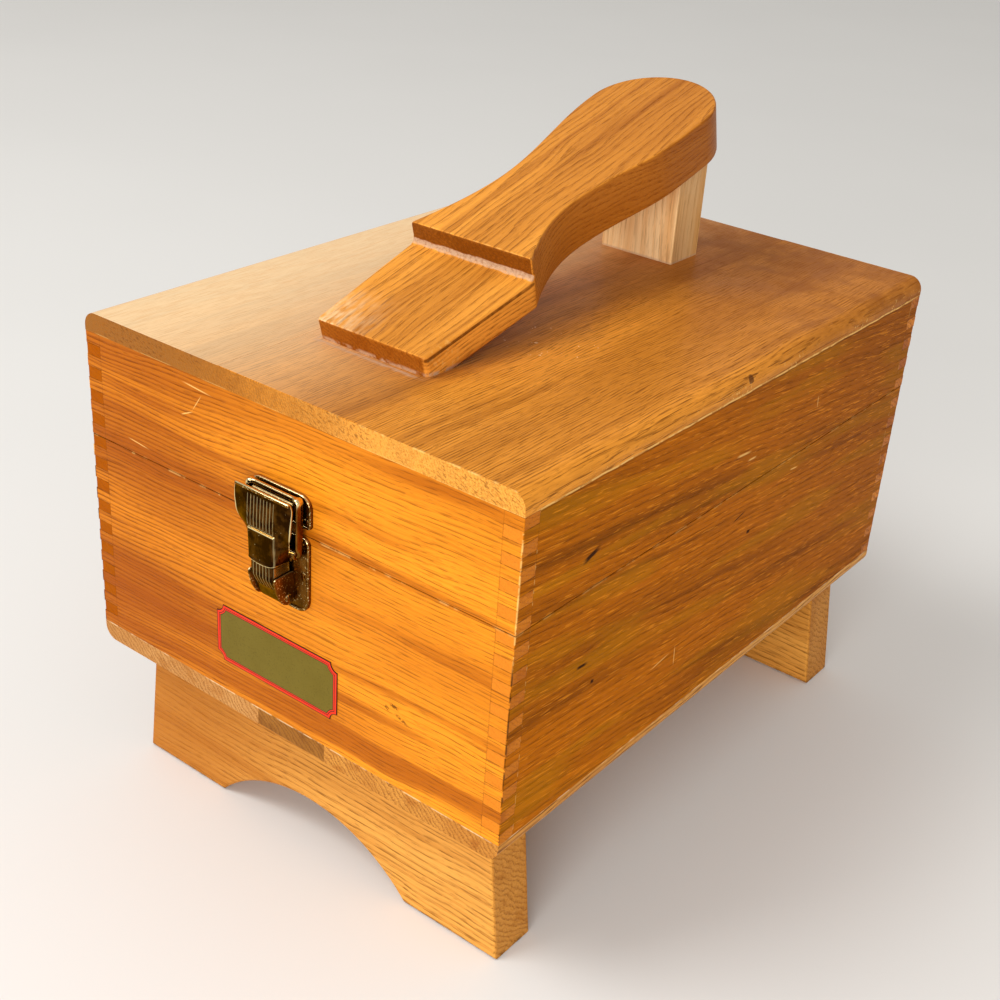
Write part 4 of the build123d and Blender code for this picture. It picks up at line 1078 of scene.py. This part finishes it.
    def bail(self):
        """The bail: a strap carried up one side, across the top and down the other. Its section goes from
        a round end to a flat arm and back to a round bar, and swells to a knob at the upper corners."""
        high = corners("latch_bail")[1]
        wire, bend = 1.1, 1.5
        arm, foot, top = high[0] - wire, BAIL_PIVOT[2], high[2] - wire
        angle = np.linspace(0, np.pi / 2, 10)
        start = np.stack([np.linspace(-12.0, bend - arm, 6)[:-1], np.full(5, foot)], 1)
        lower = np.stack([bend - arm - bend * np.sin(angle), foot + bend - bend * np.cos(angle)], 1)
        rise = np.stack([np.full(40, -arm), np.linspace(foot + bend, top - bend, 42)[1:-1]], 1)
        upper = np.stack([bend - arm - bend * np.cos(angle), top - bend + bend * np.sin(angle)], 1)
        bar = np.stack([np.linspace(bend - arm, 0, 24)[1:], np.full(23, top)], 1)
        half = np.vstack([start, lower, rise, upper, bar])
        path = np.vstack([half, half[-2::-1] * (-1, 1)])
        flat = np.clip((path[:, 1] - foot - 1.5) / 2.5, 0, 1)
        flat = flat * np.clip((np.abs(path[:, 0]) - 11.5) / 2.0, 0, 1)
        knob = np.exp(-((np.abs(path[:, 0]) - 14.1) ** 2 + (path[:, 1] - top + 0.5) ** 2) / 1.5 ** 2)
        line = np.stack([path[:, 0], np.full(len(path), BAIL_PIVOT[1]), path[:, 1]], 1)
        width = wire - 0.45 * flat + 0.9 * knob
        depth = wire + 1.0 * flat + 0.1 * knob
        mesh = rod("latch_bail_strap", line, (0, 1.0, 0), width, 28, depth=depth)
        # Painted highlight on the knobs.
        mark_highlights(mesh, np.broadcast_to(np.clip(knob * 1.2, 0, 0.8), (28, len(path))))
        piece = add_piece("latch_bail_strap", mesh, self.wire_brass, "latch_bail")
        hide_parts("latch_bail")

    def plate(self, node, body, low, high, top_corner, bottom_corner):
        """A stamped plate with a bead round its edge: the outline carried from the back to an eased
        front."""
        rings = []
        for inset, out in ((0.0, 0.0), (0.0, 0.75), (0.08, 0.92), (0.25, 1.0)):
            outline = plate_outline(low, high, inset, top_corner, bottom_corner)
            rings.append(before_wall(outline[:, 0], out, outline[:, 1]))
        plate = grid_mesh(node + "_sheet", np.stack(rings, axis=1))
        rim = self.look.rim
        path = plate_outline(low, high, rim, top_corner, bottom_corner)
        line = before_wall(path[:, 0], 1.0, path[:, 1])
        bead = rod(node + "_bead", line, (0, 1.0, 0), rim, 14, True)
        add_piece(node + "_bead", bead, self.bead_brass, body)
        return plate

    def strike_plate(self):
        """The strike plate, with the rolled lip that the bail hooks over."""
        low, high = corners("latch_strike_plate")
        plate = self.plate("latch_strike_plate", "lid", (low[0], low[2]), (high[0], high[2] - 2.2), 6.0, 2.0)
        lip_y, lip_z = BAIL_PIVOT[1], high[2] - 6.7
        lip = turned("strike_lip", mirrored([(-12.0, 0.01), (-12.0, 1.7), (-11.7, 2.0)]), lip_y, lip_z)
        outline = np.array([(-0.5, -0.6), (-0.5, 0.6), (4.2, 0.6), (4.2, -0.6)])
        across = np.linspace(-11.8, 11.8, 2)[None, :]
        web = grid_mesh("strike_web", before_wall(across, 0.8 + outline[:, :1], lip_z + outline[:, 1:]))
        mesh = joined("latch_strike_plate_stamping", [plate, lip, web])
        piece = add_piece("latch_strike_plate_stamping", mesh, self.plate_brass, "lid")
        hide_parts("latch_strike_plate")

    def base_plate(self):
        """The base plate with its two fan-shaped ears, and the pin between them. An ear is a fan outline
        with rounded corners, carried across its thickness with eased edges."""
        low, high = corners("latch_base_plate")
        plate = self.plate("latch_base_plate", "body", (low[0], low[2]), (high[0], high[2]), 3.5, 6.5)
        fan = np.array([(0.9, -2.6), (4.4, -3.7), (8.0, -1.9), (11.2, 3.7), (13.0, 10.7), (12.5, 11.9),
                        (0.9, 12.2)])
        fan = np.vstack([fan, fan[:1]])
        walk = np.concatenate([[0], np.cumsum(np.hypot(*np.diff(fan, axis=0).T))])
        at = np.linspace(0, walk[-1], 120, endpoint=False)
        loop = np.stack([np.interp(at, walk, fan[:, 0]), np.interp(at, walk, fan[:, 1])], 1)
        loop = np.mean([np.roll(loop, k, 0) for k in range(-3, 4)], axis=0)
        middle = loop.mean(0)
        ears = []
        for side in (-1, 1):
            rings = []
            for x, shrink in ((7.2, 0.96), (7.35, 1.0), (7.95, 1.0), (8.1, 0.96)):
                ring = middle + (loop - middle) * shrink
                rings.append(before_wall(x * side, ring[:, 0], PIVOT[2] + ring[:, 1]))
            ears.append(grid_mesh("ear", np.stack(rings, axis=1)))
        mesh = joined("latch_base_plate_stamping", [plate])
        piece = add_piece("latch_base_plate_stamping", mesh, self.plate_brass, "body")
        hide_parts("latch_base_plate")
        ear_brass = brass("brass_ear", 0.45, 6.0, 0.34, 0.8, 0.6)
        mesh = joined("latch_base_plate_ears", ears)
        add_piece("latch_base_plate_ears", mesh, ear_brass, "body")
        dome = [(-8.95, 0.02), (-8.85, 0.7), (-8.65, 1.3), (-8.35, 1.75), (-8.15, 1.9), (-8.05, 1.9),
                (-7.9, 1.2)]
        pin = turned("latch_pivot_rivet", mirrored(dome), PIVOT[1], PIVOT[2])
        piece = add_piece("latch_pivot_rivet", pin, self.bead_brass, "body")
        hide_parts("latch_pivot_pin")

    def nails(self, node, body):
        """Domed nail heads: half an ellipse turned about each nail's axis."""
        source = FRAME["nodes"][node]
        working = bmesh.new()
        working.from_mesh(source.data)
        heads = np.array([np.array(v.co) for v in working.verts]) / MM
        working.free()
        front = heads[heads[:, 1] < heads[:, 1].min() + 0.01]
        places = np.unique(np.round(front[:, [0, 2]] / 6.0), axis=0)
        meshes = []
        for place in places:
            group = front[np.all(np.round(front[:, [0, 2]] / 6.0) == place, axis=1)]
            centre = (group.min(0) + group.max(0)) / 2
            turn = np.linspace(0, np.pi / 2, 9)[None, :]
            angle = np.linspace(0, 2 * np.pi, 28, endpoint=False)[:, None]
            radius = 1.5 * np.cos(turn) + 0.001
            points = np.stack([centre[0] + radius * np.cos(angle),
                               centre[1] + 0.7 - 0.7 * np.sin(turn) + 0 * angle,
                               centre[2] + radius * np.sin(angle)], axis=-1)
            meshes.append(grid_mesh("nail_head", points))
        mesh = joined(node + "_heads", meshes)
        piece = add_piece(node + "_heads", mesh, self.wire_brass, body)
        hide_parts(node)


class SHINEBOX_OT_hinges(bpy.types.Operator):
    """Finishes the two butt hinges, their pins and every screw"""

    bl_idname = "shinebox.hinges"
    bl_label = "Hinges and screws"

    def execute(self, context):
        wear = context.scene.shine_box_wear
        leaf = brass("brass_hinge_leaf", 0.5, 13.0, 0.3)
        screw = brass("brass_hinge_screw", 0.6, 17.0, 0.26)
        for side in ("left", "right"):
            for half, body in (("body", "body"), ("lid", "lid")):
                node = f"hinge_{side}_{half}_leaf"
                eased_copy(node, node + "_plate", leaf, body, wear.metal_edge)
            coat(f"hinge_{side}_pin", screw)
        for node in ("hinge_body_screws", "hinge_lid_screws"):
            coat(node, screw)
        steel = self.steel()
        for place in ("front_foot", "rear_foot", "footrest_heel", "footrest_post"):
            coat(place + "_screws", steel)
        return {"FINISHED"}

    def steel(self):
        """Zinc-grey steel with turning marks."""
        made = Finish("steel_wood_screw")
        x, y, z = made.place()
        marks = made.noise(made.vector(x / 1.5, y / 1.5, z / 0.2), 2.0)
        base = made.blend(made.ease(marks, 0.3, 0.8), colour("a8a8a6"), colour("6c6a66"))
        return made.close(base, 0.3 + marks * 0.2, marks * 0.2, 0.05, Metallic=1.0)


class SHINEBOX_OT_label(bpy.types.Operator):
    """Finishes the blank label plate: an olive gold field inside red border lines"""

    bl_idname = "shinebox.label"
    bl_label = "Label plate"

    def execute(self, context):
        look = context.scene.shine_box_label
        made = Finish("label_print")
        x, y, z = made.place()
        middle = (LABEL_LOW + LABEL_HIGH) / 2
        half = (LABEL_HIGH - LABEL_LOW) / 2
        from_x = made.size(x - middle[0])
        from_z = made.size(z - middle[2])
        corner_x, corner_z = from_x - half[0], from_z - half[2]
        corner = (corner_x * corner_x + corner_z * corner_z) ** 0.5 - 4.0
        inside = made.least(made.least(half[0] - from_x, half[2] - from_z), corner)
        wave = made.noise(made.vector(x / 2, y / 2, z / 2), 3.0)
        inside = inside + (wave - 0.5) * 0.12
        speck = made.noise(made.vector(x / 0.8, y / 0.8, z / 0.8), 2.0)
        worn = made.noise(made.vector(x / 14, y / 14, z / 14), 3.0)
        base = made.blend(made.ease(worn, 0.3, 0.7) * 0.3, look.field, colour("70601a"))
        base = made.blend(made.ease(speck, 0.55, 0.75) * 0.35, base, colour("423606"))
        edges = np.cumsum([0.35, look.band, look.line * 0.8, look.line, look.line * 0.7])
        tints = [look.outline, look.border, look.outline, look.border, look.outline]
        for edge, tint in list(zip(edges, tints))[::-1]:
            base = made.blend(made.below(inside, edge - 0.06, edge + 0.06), base, tint)
        constants = {"Coat Weight": 0.04, "Coat Roughness": 0.15, "Specular IOR Level": 0.15}
        coat("label_plate", made.close(base, 0.34 + speck * 0.2, speck * 0.3, 0.04, **constants))
        return {"FINISHED"}


# ---- Studio --------------------------------------------------------------------------------------
class SHINEBOX_OT_studio(bpy.types.Operator):
    """Sets up the camera, the lamps, the even light and the pale floor"""

    bl_idname = "shinebox.studio"
    bl_label = "Studio"

    def execute(self, context):
        studio = context.scene.shine_box_studio
        self.camera(studio)
        self.lamp("key_lamp", (-1.1, -1.4, 2.5), 1.3, studio.key)
        self.lamp("fill_lamp", (0.6, -1.6, 0.55), 0.9, studio.fill)
        self.floor(studio)
        self.sky(studio)
        context.scene.view_settings.view_transform = "Standard"
        return {"FINISHED"}

    def camera(self, studio):
        data = bpy.data.cameras.new("camera")
        data.lens, data.sensor_width = studio.lens, 36.0
        data.shift_x, data.shift_y = studio.shift
        data.clip_start, data.clip_end = 0.01, 50.0
        camera = bpy.data.objects.new("camera", data)
        az, el, roll = studio.azimuth, studio.elevation, studio.roll
        back = Vector((math.sin(az) * math.cos(el), -math.cos(az) * math.cos(el), math.sin(el)))
        right = Vector((math.cos(az), math.sin(az), 0.0))
        up = back.cross(right)
        across = right * math.cos(roll) + up * math.sin(roll)
        upward = up * math.cos(roll) - right * math.sin(roll)
        turned = Matrix((across, upward, back)).transposed().to_4x4()
        camera.matrix_world = Matrix.Translation(studio.place) @ turned
        bpy.context.scene.collection.objects.link(camera)
        bpy.context.scene.camera = camera

    def lamp(self, name, place, size, power):
        data = bpy.data.lights.new(name, "AREA")
        data.size, data.energy = size, power
        lamp = bpy.data.objects.new(name, data)
        lamp.location = place
        lamp.rotation_euler = (LAMP_AIM - Vector(place)).to_track_quat("-Z", "Y").to_euler()
        bpy.context.scene.collection.objects.link(lamp)

    def floor(self, studio):
        side = np.linspace(-3000.0, 3000.0, 13)
        x, y = np.meshgrid(side, side, indexing="ij")
        points = np.stack([x, y, np.full_like(x, -0.5)], -1)
        mesh = grid_mesh("studio_floor", points, around=False, caps=False)
        floor = bpy.data.objects.new("studio_floor", mesh)
        made = Finish("floor_paint")
        x, y, z = made.place()
        cloud = made.noise(made.vector(x / 400, y / 400, z / 400), 2.0)
        base = made.blend(made.ease(cloud, 0.3, 0.7) * 0.06, studio.floor, colour("c8c6c2"))
        mesh.materials.append(made.close(base, 0.75 + cloud * 0.05))
        bpy.context.scene.collection.objects.link(floor)

    def sky(self, studio):
        world = bpy.data.worlds.new("studio_sky")
        bpy.context.scene.world = world
        world.use_nodes = True
        tree = world.node_tree
        tree.nodes.clear()
        rays = tree.nodes.new("ShaderNodeLightPath")
        seen = tree.nodes.new("ShaderNodeMath")
        seen.operation = "MAXIMUM"
        tree.links.new(rays.outputs["Is Camera Ray"], seen.inputs[0])
        tree.links.new(rays.outputs["Is Transmission Ray"], seen.inputs[1])
        strength = tree.nodes.new("ShaderNodeMapRange")
        strength.inputs[3].default_value = studio.sky
        strength.inputs[4].default_value = BACKDROP
        tree.links.new(seen.outputs[0], strength.inputs[0])
        light = tree.nodes.new("ShaderNodeBackground")
        light.inputs[0].default_value = (1.0, 0.985, 0.96, 1.0)
        tree.links.new(strength.outputs[0], light.inputs[1])
        output = tree.nodes.new("ShaderNodeOutputWorld")
        tree.links.new(light.outputs[0], output.inputs[0])


# ---- Panel and registration ----------------------------------------------------------------------
SETTINGS = {
    "shine_box_wood": ShineBoxWood,
    "shine_box_wear": ShineBoxWear,
    "shine_box_brass": ShineBoxBrass,
    "shine_box_label": ShineBoxLabel,
    "shine_box_studio": ShineBoxStudio,
}
OPERATORS = (
    SHINEBOX_OT_walls,
    SHINEBOX_OT_top_and_bottom,
    SHINEBOX_OT_feet,
    SHINEBOX_OT_foot_rest,
    SHINEBOX_OT_latch,
    SHINEBOX_OT_hinges,
    SHINEBOX_OT_label,
    SHINEBOX_OT_studio,
)


class SHINEBOX_PT_panel(bpy.types.Panel):
    """Settings and steps of the shoe shine box"""

    bl_idname = "SHINEBOX_PT_panel"
    bl_label = "Shine Box"
    bl_space_type = "VIEW_3D"
    bl_region_type = "UI"
    bl_category = "Shine Box"

    def draw(self, context):
        for group, kind in SETTINGS.items():
            settings = getattr(context.scene, group)
            column = self.layout.column(align=True)
            for name in kind.__annotations__:
                column.prop(settings, name)
        for operator in OPERATORS:
            self.layout.operator(operator.bl_idname)


def register():
    for kind in (*SETTINGS.values(), *OPERATORS, SHINEBOX_PT_panel):
        bpy.utils.register_class(kind)
    for name, kind in SETTINGS.items():
        setattr(bpy.types.Scene, name, bpy.props.PointerProperty(type=kind))


def unregister():
    for name in SETTINGS:
        delattr(bpy.types.Scene, name)
    for kind in (SHINEBOX_PT_panel, *OPERATORS[::-1], *list(SETTINGS.values())[::-1]):
        bpy.utils.unregister_class(kind)


def main():
    register()
    for operator in OPERATORS:
        group, step = operator.bl_idname.split(".")
        getattr(getattr(bpy.ops, group), step)()


if __name__ == "__main__":
    main()
